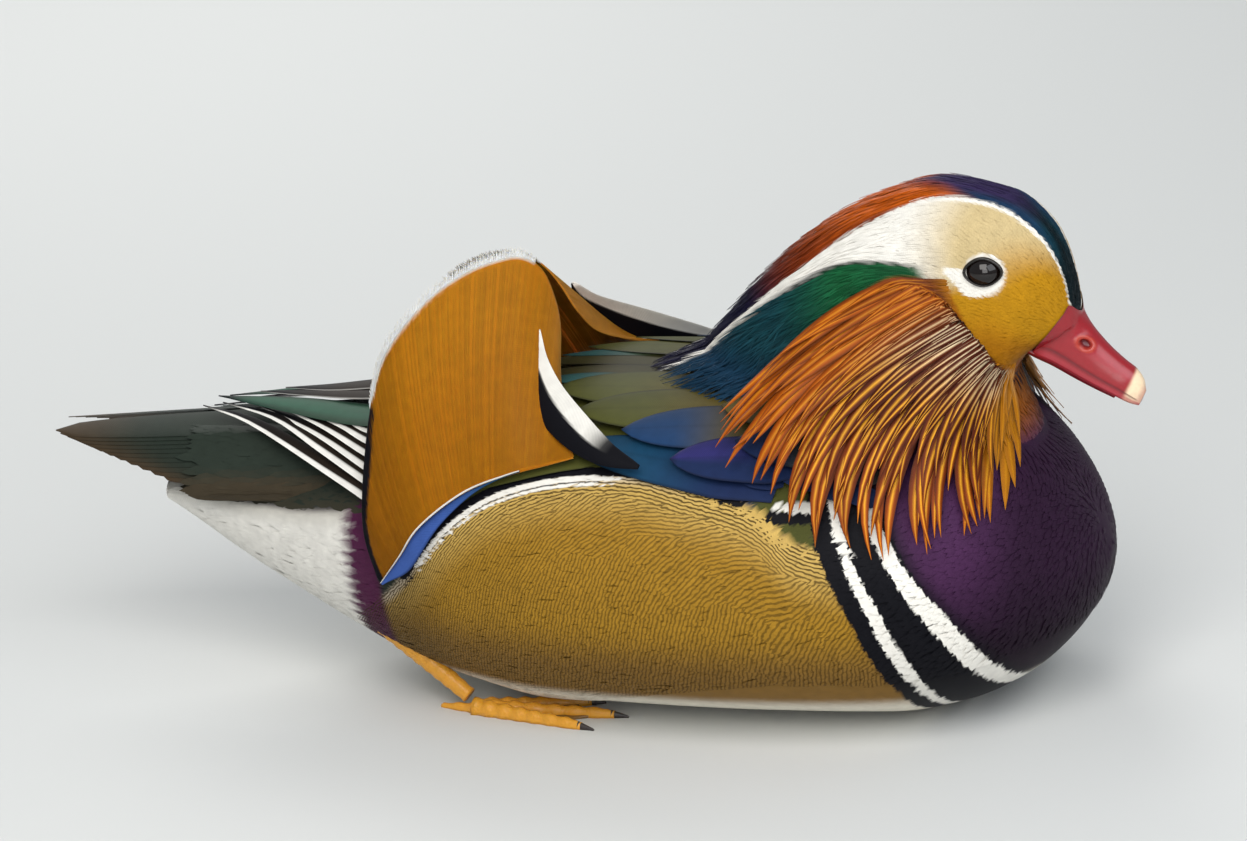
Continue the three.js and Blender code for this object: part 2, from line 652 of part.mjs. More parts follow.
function wingSolid(side, grow = 0) {
  const surface = overTorso(side);
  const core = coreOver(surface, {
    at: (t, s) => {
      const front = mix(WING_CORE_X.neck, WING_CORE_X.shoulder, s ** WING_CORE_X.sweep);
      const x = mix(front, mix(WING_CORE_X.backTop, WING_CORE_X.backLow, s), t);
      return [x, mix(WING_CORE.nearRidge, WING_CORE.low * flankEdge(x), s)];
    },
    steps: 5,
    columns: 5,
    under: WING_CORE.under,
    over: () => WING_CORE.thick,
  }, grow);
  const feathers = WING_FEATHERS.map((feather) =>
    laid(surface, { ...feather, outline: roundVane, thickness: THICK.covert, cup: COVERT_CUP, rows: 3, columns: 2 }, grow),
  );
  return join([core, ...feathers]);
}

// The black and white plume that curves up in front of the sail.
const SICKLE = [[8, 56, 91], [-3, 52.5, 93], [-15, 45.5, 96.5], [-25, 37, 101.5], [-31, 28.5, 107.5], [-34.4, 19.5, 116]];
const SICKLE_HALF = 5.6;
const SICKLE_CUP = 0.7;
const sickleVane = outlineOf(0.1, (t) => Math.sin(Math.PI * clamp(0.1 + 0.87 * t, 0, 1)) ** 0.8);

function sickleSolid(side, grow = 0) {
  return blade({
    path: bend(...SICKLE.map(([x, y, z]) => vec(x, side * y, z))),
    normal: (t) => vec(-0.3 * t, side, mix(1.1, 0.4, t)),
    halfWidth: sickleVane(SICKLE_HALF),
    thickness: THICK.sickle,
    rows: 9,
    columns: 2,
    cup: SICKLE_CUP,
    grow,
  });
}

// Sail: one huge web that stands up from its shaft. Barbs run from the shaft to the rim.
const SAIL_SHAFT = [[-82.3, 52, 46.8], [-73.7, 55, 56], [-65.2, 57, 66.8], [-51.2, 55.5, 77.7], [-37.1, 55, 84.4],
  [-26.3, 53.5, 88.1], [-17, 52, 90.5]];
const SAIL_RIM = [[-83.3, 51.5, 48.5], [-87, 50, 62], [-87.3, 47.5, 76], [-87.6, 39.5, 91], [-86.5, 32.5, 105], [-84, 27.5, 114.6],
  [-78, 23, 123.5], [-69.4, 17, 131.8], [-59.6, 12, 137.6], [-51, 8, 140.3], [-43.6, 5, 140.6], [-37.8, 4.2, 135.5],
  [-34, 6.5, 127], [-31.6, 10, 117.7], [-29.5, 20, 106.5], [-25, 34, 97.5]];
const SAIL_BULGE = 4; // how far the web is hollowed, outwards from straight barbs
const LEFT_SAIL = { drop: 5, back: 2.5 }; // how much lower and farther back the left sail's top stands

function sailSolid(side, grow = 0) {
  const line = (points) => bend(...points.map(([x, y, z]) => vec(x, side * y, z)));
  const [shaft, rim] = [line(SAIL_SHAFT), line(SAIL_RIM)];
  const [ribs, steps] = [12, 5];
  const middle = [];
  for (let i = 0; i <= ribs; i += 1) {
    const row = [];
    const [low, high] = [shaft.getPoint(i / ribs), rim.getPoint(i / ribs)];
    for (let j = 0; j <= steps; j += 1) {
      const h = j / steps;
      const p = low.clone().lerp(high, h);
      const lean = Math.sin((Math.PI * i) / ribs);
      p.y += side * SAIL_BULGE * Math.sin(Math.PI * h) * lean;
      if (side === LEFT) p.add(vec(-LEFT_SAIL.back * h * lean, 0, -LEFT_SAIL.drop * h * lean));
      row.push(p);
    }
    middle.push(row);
  }
  const face = middle.map((row, i) =>
    row.map((_, j) => {
      const along = middle[Math.min(i + 1, ribs)][j].clone().sub(middle[Math.max(i - 1, 0)][j]);
      const up = row[Math.min(j + 1, steps)].clone().sub(row[Math.max(j - 1, 0)]);
      return along.cross(up).normalize();
    }),
  );
  const thick = (j) => THICK.sail(j / steps) / 2 + grow;
  const offset = (way) => middle.map((row, i) => row.map((p, j) => p.clone().addScaledVector(face[i][j], way * thick(j))));
  return sheet(offset(-1), offset(1));
}

// Primaries and secondaries behind the sail: each is tilted, so that its lower edge lies over the one below.
// Root, middle and tip are [x, y, z]. out is how many degrees the vane's face is turned up from sideways at its root.
const FLIGHT_FEATHERS = [
  { root: [-70, 47.5, 69], middle: [-86, 43, 74.3], tip: [-152.8, 3.5, 84.3], half: 3.7, out: 44 },
  { root: [-69, 47, 75], middle: [-86, 40.3, 79], tip: [-145.7, 5.5, 85.8], half: 3.7, out: 54 },
  { root: [-68, 45, 80], middle: [-86.5, 37.3, 82.2], tip: [-133.7, 8.5, 87], half: 3.7, out: 70 },
  { root: [-67, 42, 84], middle: [-87.5, 33.5, 85.2], tip: [-122, 12, 87.8], half: 3.7, out: 78 },
  { root: [-66, 38, 87.5], middle: [-88.3, 29.6, 87.3], tip: [-110.5, 17.5, 88.4], half: 3.9, out: 84 },
  { root: [-65, 33, 90.5], middle: [-89, 24.5, 89.4], tip: [-120, 11, 90], half: 4.6, out: 87 },
  { root: [-64, 26, 93], middle: [-91, 17.5, 91.2], tip: [-132, 6.5, 91.4], half: 5.6, out: 88 },
];
const FLAT_TIP = 84; // the same turn near the tips, where the feathers lie flat over one another
const SETTLE = 1.6; // they have turned flat by this part of their length: 1 / SETTLE
const QUILL_BOW = [1.5, 0.8]; // how far a quill bows outwards and up halfway to its tip
const LEFT_WING_DROP = 2; // the left wing's feathers lie a little lower
// The hand of the wing, from x front to x back and between two distances from the ridge. It stands highest at its
// middle, and arch gives the part of a half wave that its section takes.
const HAND = { front: -58, back: -75, near: 14, low: 54, under: 1, least: 1.8, stand: 4.6, arch: [0.2, 0.85], backShare: 0.8 };
const HAND_STEPS = { along: 3, round: 5 };

function flightSolid(side, grow = 0) {
  const drop = side === LEFT ? LEFT_WING_DROP : 0;
  const spot = ([x, y, z]) => vec(x, side * y, z - drop);
  const feathers = FLIGHT_FEATHERS.map(({ root, middle, tip, half, out }) =>
    blade({
      path: bend(
        spot(root),
        spot(middle),
        spot(middle).lerp(spot(tip), 0.5).add(vec(0, side * QUILL_BOW[0], QUILL_BOW[1])),
        spot(tip),
      ),
      normal: (t) => {
        const turned = THREE.MathUtils.degToRad(mix(out, FLAT_TIP, Math.min(1, SETTLE * t)));
        return vec(-0.1, side * Math.cos(turned), Math.sin(turned));
      },
      halfWidth: pointedVane(half),
      thickness: THICK.quill,
      rows: 4,
      grow,
    }),
  );
  // The hand of the wing fills the room from the torso to their roots.
  const surface = overTorso(side);
  const lower = [];
  const upper = [];
  for (let i = 0; i <= HAND_STEPS.along; i += 1) {
    const t = i / HAND_STEPS.along;
    const x = mix(HAND.front, HAND.back, t);
    const low = [];
    const high = [];
    for (let j = 0; j <= HAND_STEPS.round; j += 1) {
      const s = j / HAND_STEPS.round;
      const distance = mix(HAND.near, HAND.low, s);
      const stand = HAND.stand * Math.sin(Math.PI * mix(...HAND.arch, s)) * mix(1, HAND.backShare, t);
      low.push(surface.point(x, distance, HAND.under - grow));
      high.push(surface.point(x, distance, stand + HAND.least + grow));
    }
    lower.push(low);
    upper.push(high);
  }
  return join([sheet(lower, upper), ...feathers]);
}

// Tail: a roof-shaped fan. The middle pair lies on top and each next pair is a step lower and farther out.
const TAIL = { pairs: 6, rootX: -106, rootZ: 84.5, midX: -145, midZ: 81.5, tipZ: 76.6, half: 6.3, step: 1.5 };
const OUTER_TAIL = { tipX: -164, midX: -138, curve: 1.3 }; // the outermost pair is the shortest
const TAIL_SLOPE = { first: 12, more: 4 }; // of the vanes, in degrees, and how much more for each pair
const TAIL_SPREAD = { root: 5, rootMore: 1.6, middle: 0.4, tip: 6, more: 2.4 }; // sideways, at root, middle and tip
const TAIL_DROP = { root: 0.5, tip: 0.9 }; // the share of a pair's drop that its root and tip take part in
const tailTipX = (share) => mix(TAIL_TIP_X, OUTER_TAIL.tipX, share ** OUTER_TAIL.curve);
// The coverts over the roots are one low roof from x front to x back, highest at x peak.
const TAIL_ROOF = { front: -95, back: -127, half: 20, peak: -108, rise: 1.6, fall: 0.1, sideFall: 7, least: 1.2, clear: 0.05 };
const TAIL_ROOF_STEPS = { along: 4, across: 8 };

function tailSolid(grow = 0) {
  const pieces = [];
  for (const side of [RIGHT, LEFT]) {
    let dropped = 0;
    for (let k = 0; k < TAIL.pairs; k += 1) {
      const share = k / (TAIL.pairs - 1);
      const slope = THREE.MathUtils.degToRad(TAIL_SLOPE.first + TAIL_SLOPE.more * k);
      const outwards = TAIL_SPREAD.more * k;
      const rootY = TAIL_SPREAD.root + TAIL_SPREAD.rootMore * k;
      const root = vec(TAIL.rootX, side * rootY, TAIL.rootZ - TAIL_DROP.root * dropped);
      const middleX = mix(TAIL.midX, OUTER_TAIL.midX, share);
      const middle = vec(middleX, side * (TAIL.half + TAIL_SPREAD.middle + outwards), TAIL.midZ - dropped);
      const tip = vec(tailTipX(share), side * (TAIL_SPREAD.tip + outwards), TAIL.tipZ - TAIL_DROP.tip * dropped);
      pieces.push(
        blade({
          path: bend(root, middle, tip),
          normal: () => vec(0, side * Math.sin(slope), Math.cos(slope)),
          halfWidth: roundVane(TAIL.half),
          thickness: THICK.tail,
          rows: 4,
          grow,
        }),
      );
      dropped += TAIL_SPREAD.more * Math.tan(slope) + TAIL.step / Math.cos(slope);
    }
  }
  const [lower, upper] = [[], []];
  for (let i = 0; i <= TAIL_ROOF_STEPS.along; i += 1) {
    const x = mix(TAIL_ROOF.front, TAIL_ROOF.back, i / TAIL_ROOF_STEPS.along);
    const [low, high] = [[], []];
    for (let j = 0; j <= TAIL_ROOF_STEPS.across; j += 1) {
      const v = (j / TAIL_ROOF_STEPS.across) * 2 - 1;
      const side = v < 0 ? RIGHT : LEFT;
      const base = onTorso(x, turnAt(x, Math.abs(v) * TAIL_ROOF.half), side, GAP + TAIL_ROOF.clear);
      const slope = TAIL_ROOF.fall * Math.abs(x - TAIL_ROOF.peak) + TAIL_ROOF.sideFall * v * v;
      const roof = TAIL.rootZ + TAIL_ROOF.rise - slope;
      low.push(base.clone().setZ(base.z - grow));
      high.push(base.clone().setZ(Math.max(roof, base.z + TAIL_ROOF.least) + grow));
    }
    lower.push(low);
    upper.push(high);
  }
  return join([sheet(lower, upper), ...pieces]);
}

// Legs and feet, tucked under the belly. Half widths and heights run from the heel side to the tip.
const FOOT = { heelX: -60, y: 38, length: 45, splay: 0.27 };
const TOES = [
  { turn: 1, reach: 0.86 },
  { turn: 0, reach: 1 },
  { turn: -1, reach: 0.8 },
];
const TOE = { half: [2.9, 1.5], high: [4.4, 2.6] };
const CLAW = { half: [1.2, 0.4], high: [2.2, 0.8], sunk: 1, long: 4.5 };
const HIND_TOE = { half: [1.8, 0.8], high: [3, 1.2], back: 12, inwards: 3 };
// The web reaches so far along the two toes and between them, as shares of the way from the heel.
const WEB = { thick: 1.1, first: 0.92, hollow: 0.8, second: 0.9 };
const TOE_ARCH = [[-1, 0], [-0.75, 0.7], [0, 1], [0.75, 0.7], [1, 0]]; // across and up

const toeEnd = (side, toe) => {
  const angle = toe.turn * FOOT.splay * side;
  const long = FOOT.length * toe.reach;
  return vec(FOOT.heelX + long * Math.cos(angle), side * FOOT.y + long * Math.sin(angle), 0);
};

// A toe or claw with a flat sole on the floor.
function toeBar(from, to, { half: halves, high: heights }, grow) {
  const along = to.clone().sub(from).normalize();
  const across = vec(-along.y, along.x, 0);
  const start = from.clone().addScaledVector(along, -grow);
  const end = to.clone().addScaledVector(along, grow);
  const ring = (t) => {
    const centre = start.clone().lerp(end, t);
    const [half, high] = [mix(...halves, t) + grow, mix(...heights, t) + grow];
    return TOE_ARCH.map(([v, up]) => centre.clone().addScaledVector(across, v * half).setZ(up * high));
  };
  return loft([0, 0.5, 1].map(ring));
}

function footSolid(side, grow = 0) {
  const heel = vec(FOOT.heelX, side * FOOT.y, 0);
  const pieces = TOES.map((toe) => toeBar(heel, toeEnd(side, toe), TOE, grow));
  for (const toe of TOES) {
    const end = toeEnd(side, toe);
    const way = end.clone().sub(heel).normalize();
    const [base, point] = [-CLAW.sunk, CLAW.long].map((far) => end.clone().addScaledVector(way, far));
    pieces.push(toeBar(base, point, CLAW, grow));
  }
  // The web between the toes, hollowed at its front edge.
  for (const [a, b] of [[0, 1], [1, 2]]) {
    const [first, second] = [toeEnd(side, TOES[a]), toeEnd(side, TOES[b])];
    const between = first.clone().add(second).multiplyScalar(0.5);
    const ends = [[heel, 0], [first, WEB.first], [between, WEB.hollow], [second, WEB.second]];
    const corners = ends.map(([end, share]) => heel.clone().lerp(end, share));
    const outline = new THREE.Shape(corners.map((p) => new THREE.Vector2(p.x, p.y)));
    pieces.push(solidOf(new THREE.ExtrudeGeometry(outline, { depth: WEB.thick + grow, bevelEnabled: false })));
  }
  // The small hind toe, laid along the floor.
  const hindEnd = heel.clone().add(vec(-HIND_TOE.back, -side * HIND_TOE.inwards, 0));
  pieces.push(toeBar(heel, hindEnd, HIND_TOE, grow));
  return join(pieces);
}

const ANKLE = [-90, 30, 25];
const LEG_FOOT = { behindHeel: 2, inwards: 0.5, z: 5.2 };
const LEG = { half: taper(2.3, 3.4), thick: taper(4.2, 5.5), cup: 0.8 };

function legSolid(side) {
  const ankle = vec(ANKLE[0], side * ANKLE[1], ANKLE[2]);
  const foot = vec(FOOT.heelX - LEG_FOOT.behindHeel, side * (FOOT.y - LEG_FOOT.inwards), LEG_FOOT.z);
  return blade({
    path: bend(foot, foot.clone().lerp(ankle, 0.5), ankle),
    normal: () => vec(0.6, 0, 1),
    halfWidth: LEG.half,
    thickness: LEG.thick,
    rows: 5,
    columns: 2,
    cup: LEG.cup,
  });
}

// Assembly

const duck = new THREE.Group();
duck.name = "mandarin_duck";

function place(name, piece, finish) {
  const made = piece.getMesh();
  const count = made.vertProperties.length / made.numProp;
  const positions = new Float32Array(count * 3);
  for (let i = 0; i < count; i += 1) {
    positions.set(made.vertProperties.subarray(i * made.numProp, i * made.numProp + 3), i * 3);
  }
  const geometry = new THREE.BufferGeometry();
  geometry.setAttribute("position", new THREE.BufferAttribute(positions, 3));
  geometry.setIndex(new THREE.BufferAttribute(new Uint32Array(made.triVerts), 1));
  const [color, roughness] = FINISH[finish];
  const material = new THREE.MeshStandardMaterial({ color, roughness, metalness: 0 });
  const mesh = new THREE.Mesh(geometry, material);
  mesh.name = name;
  duck.add(mesh);
}

const torsoGrown = torsoSolid(GAP);
const NECK_FRONT = 1; // the grown neck starts and the grown head ends a little past where they meet
const HEAD_BACK = 5;
const neckGrown = neckSolid(NECK_FRONT, SLICE_LAST, NECK_RINGS.neckGrown, { grow: GAP });
const headGrown = join([neckSolid(0, HEAD_BACK, NECK_RINGS.headGrown, { grow: GAP }), lidRim(RIGHT), lidRim(LEFT)]);
const tailGrown = tailSolid(GAP);

place("torso", without(torsoSolid(), footSolid(RIGHT, GAP), footSolid(LEFT, GAP)), "purple");
place("neck", without(neckSolid(HEAD_END, SLICE_LAST, NECK_RINGS.neck, { startGap: GAP }), torsoGrown), "green");

const face = join([neckSolid(0, HEAD_END, NECK_RINGS.head), lidRim(RIGHT), lidRim(LEFT)]);
const sockets = SIDES.map(([, side]) => eyeSolid(side, GAP));
place("head", without(face, ...sockets, billSolid({ grow: GAP }), billSolid({ under: true, grow: GAP })), "cream");

// The nostril is one oval hole through the bill.
const NOSTRIL = { x: 133.2, z: 114.8, long: 2.1, high: 1.05, tilt: 0.66 };
const NOSTRIL_ACROSS = 30; // longer than the bill is wide
const nostril = new THREE.CylinderGeometry(1, 1, NOSTRIL_ACROSS, 12).scale(NOSTRIL.long, 1, NOSTRIL.high);
nostril.rotateY(NOSTRIL.tilt).translate(NOSTRIL.x, 0, NOSTRIL.z);
place("bill_upper", without(billSolid(), solidOf(nostril)), "red");
place("bill_lower", billSolid({ under: true }), "red");

for (const [name, side] of SIDES) place("eye_" + name, eyeSolid(side), "eye");

place("crest", without(crestSolid(), plumeSolid(RIGHT, GAP), plumeSolid(LEFT, GAP)), "chestnut");

for (const [name, side] of SIDES) {
  const plumesGrown = plumeSolid(side, GAP);
  const sickleGrown = sickleSolid(side, GAP);
  const sailGrown = sailSolid(side, GAP);
  const crestGrown = crestSolid(GAP);
  place("plumes_" + name, without(plumeSolid(side), torsoGrown), "green");
  place("ruff_" + name, without(ruffSolid(side), neckGrown, headGrown, torsoGrown, plumesGrown), "hackle");
  place("wing_" + name, without(wingSolid(side), neckGrown, ruffSolid(side, GAP), plumesGrown, crestGrown), "olive");
  place("sickle_" + name, without(sickleSolid(side), wingSolid(side, GAP)), "black");
  place("sail_" + name, without(sailSolid(side), wingSolid(side, GAP), sickleGrown, torsoGrown), "orange");
  place("flight_" + name, without(flightSolid(side), sailGrown, tailGrown, wingSolid(side, GAP), torsoGrown), "brown");
  place("leg_" + name, without(legSolid(side), torsoGrown, footSolid(side, GAP)), "yellow");
  place("foot_" + name, footSolid(side), "yellow");
}
place("tail", without(tailSolid(), torsoGrown), "brown");

export default duck;
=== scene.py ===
# %% [markdown]
# # A drake mandarin duck, modelled as a museum would show it
#
# The bird floats at rest: neck drawn in, crest and ruff relaxed, both orange sails raised. The plain solids
# of its body come in as a fixed frame. This lesson dresses them with one skin, short feathers over it and
# then the long plumes. All of it is worked out in mm, on smooth surfaces of the same form as the solids.

# %% Load the frame
import math

import bpy
import numpy as np
from mathutils import Matrix, Vector, kdtree


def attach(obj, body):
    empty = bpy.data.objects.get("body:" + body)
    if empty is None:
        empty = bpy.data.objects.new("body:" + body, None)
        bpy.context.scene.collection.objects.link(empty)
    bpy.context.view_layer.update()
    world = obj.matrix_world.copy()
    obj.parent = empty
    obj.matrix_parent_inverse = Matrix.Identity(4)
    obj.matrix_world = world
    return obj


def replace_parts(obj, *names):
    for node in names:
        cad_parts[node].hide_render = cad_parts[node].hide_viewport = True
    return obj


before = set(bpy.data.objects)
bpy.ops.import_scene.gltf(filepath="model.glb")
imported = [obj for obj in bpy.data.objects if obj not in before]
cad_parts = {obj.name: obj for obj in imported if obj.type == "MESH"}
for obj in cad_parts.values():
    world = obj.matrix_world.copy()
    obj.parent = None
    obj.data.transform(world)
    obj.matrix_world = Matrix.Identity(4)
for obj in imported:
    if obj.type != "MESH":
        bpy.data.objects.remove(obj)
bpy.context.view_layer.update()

MM = 0.001
RIGHT, LEFT = -1, 1
SIDES = {"right": RIGHT, "left": LEFT}

# %% [markdown]
# ## Smooth numbers
#
# An animal has no straight lines, so most sizes here are curves through a few points. Between two points a
# curve only rises or only falls, or the belly would ripple. Bent plumes use a second kind, which passes
# through points in space.

# %% Curves and soft steps
def cubic(t, start, end, leaving, arriving):
    """A cubic from start to end with the slopes it has there, for t from 0 to 1."""
    ends = (2 * t**3 - 3 * t**2 + 1) * start + (3 * t**2 - 2 * t**3) * end
    return ends + (t**3 - 2 * t**2 + t) * leaving + (t**3 - t**2) * arriving


def through(points):
    """A smooth function through a few (place, value) points, with no overshoot."""
    at, value = (np.array(row, float) for row in zip(*points))
    rise = np.diff(value) / np.diff(at)
    before, after = rise[:-1], rise[1:]
    same_way = before * after > 0
    total = np.where(same_way, before + after, 1.0)
    slope = np.concatenate([rise[:1], np.where(same_way, 2 * before * after / total, 0.0), rise[-1:]])

    def curve(place):
        place = np.asarray(place, float)
        i = np.clip(np.searchsorted(at, place) - 1, 0, len(at) - 2)
        span = at[i + 1] - at[i]
        t = np.clip((place - at[i]) / span, 0, 1)
        return cubic(t, value[i], value[i + 1], span * slope[i], span * slope[i + 1])

    return curve


def bend(points):
    """A smooth line in space through its points, asked for by a share from 0 to 1."""
    points = np.array(points, float)
    last = len(points) - 1
    slope = np.gradient(points, axis=0)

    def line(share):
        place = np.clip(np.asarray(share, float), 0, 1) * last
        i = np.minimum(place.astype(int), last - 1)
        return cubic((place - i)[..., None], points[i], points[i + 1], slope[i], slope[i + 1])

    return line


def curves(rows):
    """A smooth curve for each column of a table whose rows are 1 apart."""
    return [through(list(enumerate(column))) for column in zip(*rows)]


def soft(low, high, value):
    """A soft step from 0 at low to 1 at high."""
    t = np.clip((np.asarray(value, float) - low) / (high - low), 0, 1)
    return t * t * (3 - 2 * t)


def band(low, high, edge, value):
    """1 between low and high, fading to 0 over a soft edge outside them."""
    return soft(low - edge, low + edge, value) * (1 - soft(high - edge, high + edge, value))


def unit(vectors):
    return vectors / np.maximum(np.linalg.norm(vectors, axis=-1, keepdims=True), 1e-9)


print("a soft step half way:", soft(0, 1, 0.5))

# %% [markdown]
# ## The body's form
#
# The torso is a row of rounded sections across the body. Four curves hold it: how wide it is, the line of
# the back, the height of the widest place, and the keel. A point on it is asked for by its x and by a turn,
# which runs from 0 on the ridge of the back to 1 on the keel, and is negative on the bird's right side.

# %% Torso surface
BREAST_X, VENT_X = 137.0, -166.0
FLOOR_SINK = 1.6
UPPER_ROUNDNESS, LOWER_ROUNDNESS = 2.15, 2.3

beam = through([
    (VENT_X, 9), (-150, 15), (-139, 20), (-110, 35), (-79, 50), (-52, 61), (-20, 69), (23, 72.5), (50, 71),
    (74, 67), (94, 60), (114, 46), (127, 30), (134, 15), (BREAST_X, 2)])
back_line = through([
    (VENT_X, 62), (-139, 67), (-120, 72), (-100, 79), (-80, 87), (-60, 94), (-40, 98.5), (-20, 100.5),
    (0, 101), (40, 101.5), (80, 99.5), (104, 94), (115, 85), (124, 75), (131, 64), (135, 55), (BREAST_X, 48)])
side_line = through([
    (VENT_X, 58), (-139, 57), (-110, 56), (-60, 53), (0, 50), (60, 48), (110, 47), (BREAST_X, 46.5)])
keel_line = through([
    (VENT_X, 54), (-139, 36), (-120, 26), (-100, 16), (-80, 7.5), (-60, 2.5), (-35, -FLOOR_SINK),
    (75, -FLOOR_SINK), (96, 2), (112, 9), (125, 20), (133, 32), (136, 41), (BREAST_X, 45)])


class Surface:
    """A smooth surface asked for by two measures, with its outward normals and its unwrap."""

    def __init__(self, point, steps, outward, unwrap):
        self.point, self.steps, self.outward, self.unwrap = point, steps, outward, unwrap

    def slopes(self, u, v):
        a, b = self.steps
        along = (self.point(u + a, v) - self.point(u - a, v)) / (2 * a)
        across = (self.point(u, v + b) - self.point(u, v - b)) / (2 * b)
        return along, across

    def normal(self, u, v):
        along, across = self.slopes(u, v)
        return unit(np.cross(along, across)) * self.outward

    def lift(self, u, v, height):
        height = np.broadcast_to(np.asarray(height, float), np.shape(u))
        return self.point(u, v) + height[..., None] * self.normal(u, v)

    def heading(self, u, v, direction):
        """How much u and v change for each mm along a direction in space, laid onto the surface."""
        along, across = self.slopes(u, v)
        normal = unit(np.cross(along, across))
        flat = unit(direction - (direction * normal).sum(-1, keepdims=True) * normal)
        aa, bb, ab = (along * along).sum(-1), (across * across).sum(-1), (along * across).sum(-1)
        da, db = (along * flat).sum(-1), (across * flat).sum(-1)
        whole = np.maximum(aa * bb - ab * ab, 1e-9)
        return (bb * da - ab * db) / whole, (aa * db - ab * da) / whole


def torso_half(x, upper):
    """How far the upper or lower half of a section reaches, and the power of its curve."""
    tall = np.where(upper, back_line(x) - side_line(x), side_line(x) - keel_line(x))
    return tall, 2 / np.where(upper, UPPER_ROUNDNESS, LOWER_ROUNDNESS)


def torso_point(x, turn, grow=0.0):
    x, turn = np.clip(x, VENT_X, BREAST_X), np.clip(turn, -1, 1)
    up, out = np.cos(np.abs(turn) * np.pi), np.sin(np.abs(turn) * np.pi)
    tall, power = torso_half(x, up >= 0)
    y = np.sign(turn) * (beam(x) + grow) * out**power
    z = side_line(x) + np.sign(up) * (tall + grow) * np.abs(up)**power
    return np.stack([x + 0 * turn, y, np.maximum(z, -grow)], -1)


def torso_unwrap(x, turn):
    return np.stack([0.02 + 0.96 * (x - VENT_X) / (BREAST_X - VENT_X), 0.3 + 0.28 * turn + 0 * x], -1)


torso = Surface(torso_point, (0.5, 0.004), 1, torso_unwrap)


def torso_turn(place):
    """The turn of a place on or near the torso."""
    x, y, z = place[..., 0], place[..., 1], place[..., 2]
    middle = side_line(x)
    upper = z >= middle
    tall, power = torso_half(x, upper)
    out = np.minimum(np.abs(y) / beam(x), 1.2)**(1 / power)
    up = np.minimum(np.abs(z - middle) / tall, 1.2)**(1 / power)
    return np.where(y < 0, -1, 1) * np.arctan2(out, np.where(upper, up, -up)) / np.pi


# A table of distances round the body from the ridge, and the same table turned round.
TABLE_X, TABLE_TURN = np.linspace(VENT_X, BREAST_X, 240), np.linspace(0, 1, 200)
TABLE_FAR = np.linspace(0, 170, 240)
lines = torso_point(TABLE_X[:, None] + 0 * TABLE_TURN, TABLE_TURN + 0 * TABLE_X[:, None])
walked = np.linalg.norm(np.diff(lines, axis=1), axis=-1).cumsum(1)
FAR_TABLE = np.concatenate([np.zeros((len(TABLE_X), 1)), walked], 1)
TURN_TABLE = np.array([np.interp(TABLE_FAR, row, TABLE_TURN) for row in FAR_TABLE])


def look_up(table, first, second, x, value):
    """Values of a table between its entries."""
    i = np.clip((x - first[0]) / (first[1] - first[0]), 0, len(first) - 1.001)
    j = np.clip((value - second[0]) / (second[1] - second[0]), 0, len(second) - 1.001)
    i0, j0 = i.astype(int), j.astype(int)
    s, t = i - i0, j - j0
    near = table[i0, j0] * (1 - t) + table[i0, j0 + 1] * t
    return near * (1 - s) + (table[i0 + 1, j0] * (1 - t) + table[i0 + 1, j0 + 1] * t) * s


def ridge_distance(x, turn):
    """How far round the body a point lies from the ridge of the back, in mm."""
    x, turn = np.broadcast_arrays(np.asarray(x, float), np.asarray(turn, float))
    return look_up(FAR_TABLE, TABLE_X, TABLE_TURN, x, np.abs(turn))


def turn_at(x, distance):
    """The turn of a point that lies so many mm from the ridge. A negative distance is on the right side."""
    x, distance = np.broadcast_arrays(np.asarray(x, float), np.asarray(distance, float))
    return np.sign(distance) * look_up(TURN_TABLE, TABLE_X, TABLE_FAR, x, np.abs(distance))


# The back and sides measured by x and by the distance from the ridge, right side negative.
over_back = Surface(lambda x, d: torso_point(x, turn_at(x, d)), (0.5, 0.3), 1,
                    lambda x, d: torso_unwrap(x, turn_at(x, d)))
print("torso: widest", 2 * float(beam(23)), "mm, back at", float(back_line(0)), "mm")

# %% [markdown]
# ## Head and neck
#
# Head and drawn-in neck are one bent form. Its sections fan out from the throat: the first is at the bill,
# the fourth goes through the eye, and the last sinks into the shoulders. A point is asked for by its slice
# and by how far off the crown line it lies, from 0 on the crown to 1 at the throat, right side negative.

# %% Head and neck surface
# For each slice the x and z of the throat and of the crown, the half width, and how high up it is widest.
SLICES = [
    (119, 114, 131.5, 121.5, 8.6, 0.5),
    (114.5, 110.5, 130, 134, 12.5, 0.42),
    (111.5, 107.5, 125.5, 148.5, 16.2, 0.44),
    (110, 105, 112.5, 160.5, 18.8, 0.44),
    (109.5, 103, 92, 164, 19.6, 0.46),
    (110, 101, 68, 156.5, 20.5, 0.46),
    (111, 98, 45, 141.5, 22.5, 0.42),
    (112, 94, 26, 123, 26, 0.4),
    (114, 90, 13, 107, 30, 0.4),
    (116, 84, 8, 95, 34, 0.45),
]
SLICE_LAST = len(SLICES) - 1
NECK_ROUNDNESS = 2.25
throat_x, throat_z, crown_x, crown_z, slice_half, slice_widest = curves(SLICES)


def spoke(at, low_x, low_z, high_x, high_z):
    """Where the middle line of a section starts, its direction and its length."""
    low = np.stack([low_x(at), 0 * at, low_z(at)], -1)
    high = np.stack([high_x(at), 0 * at, high_z(at)], -1)
    tall = np.linalg.norm(high - low, axis=-1)
    return low, (high - low) / tall[..., None], tall


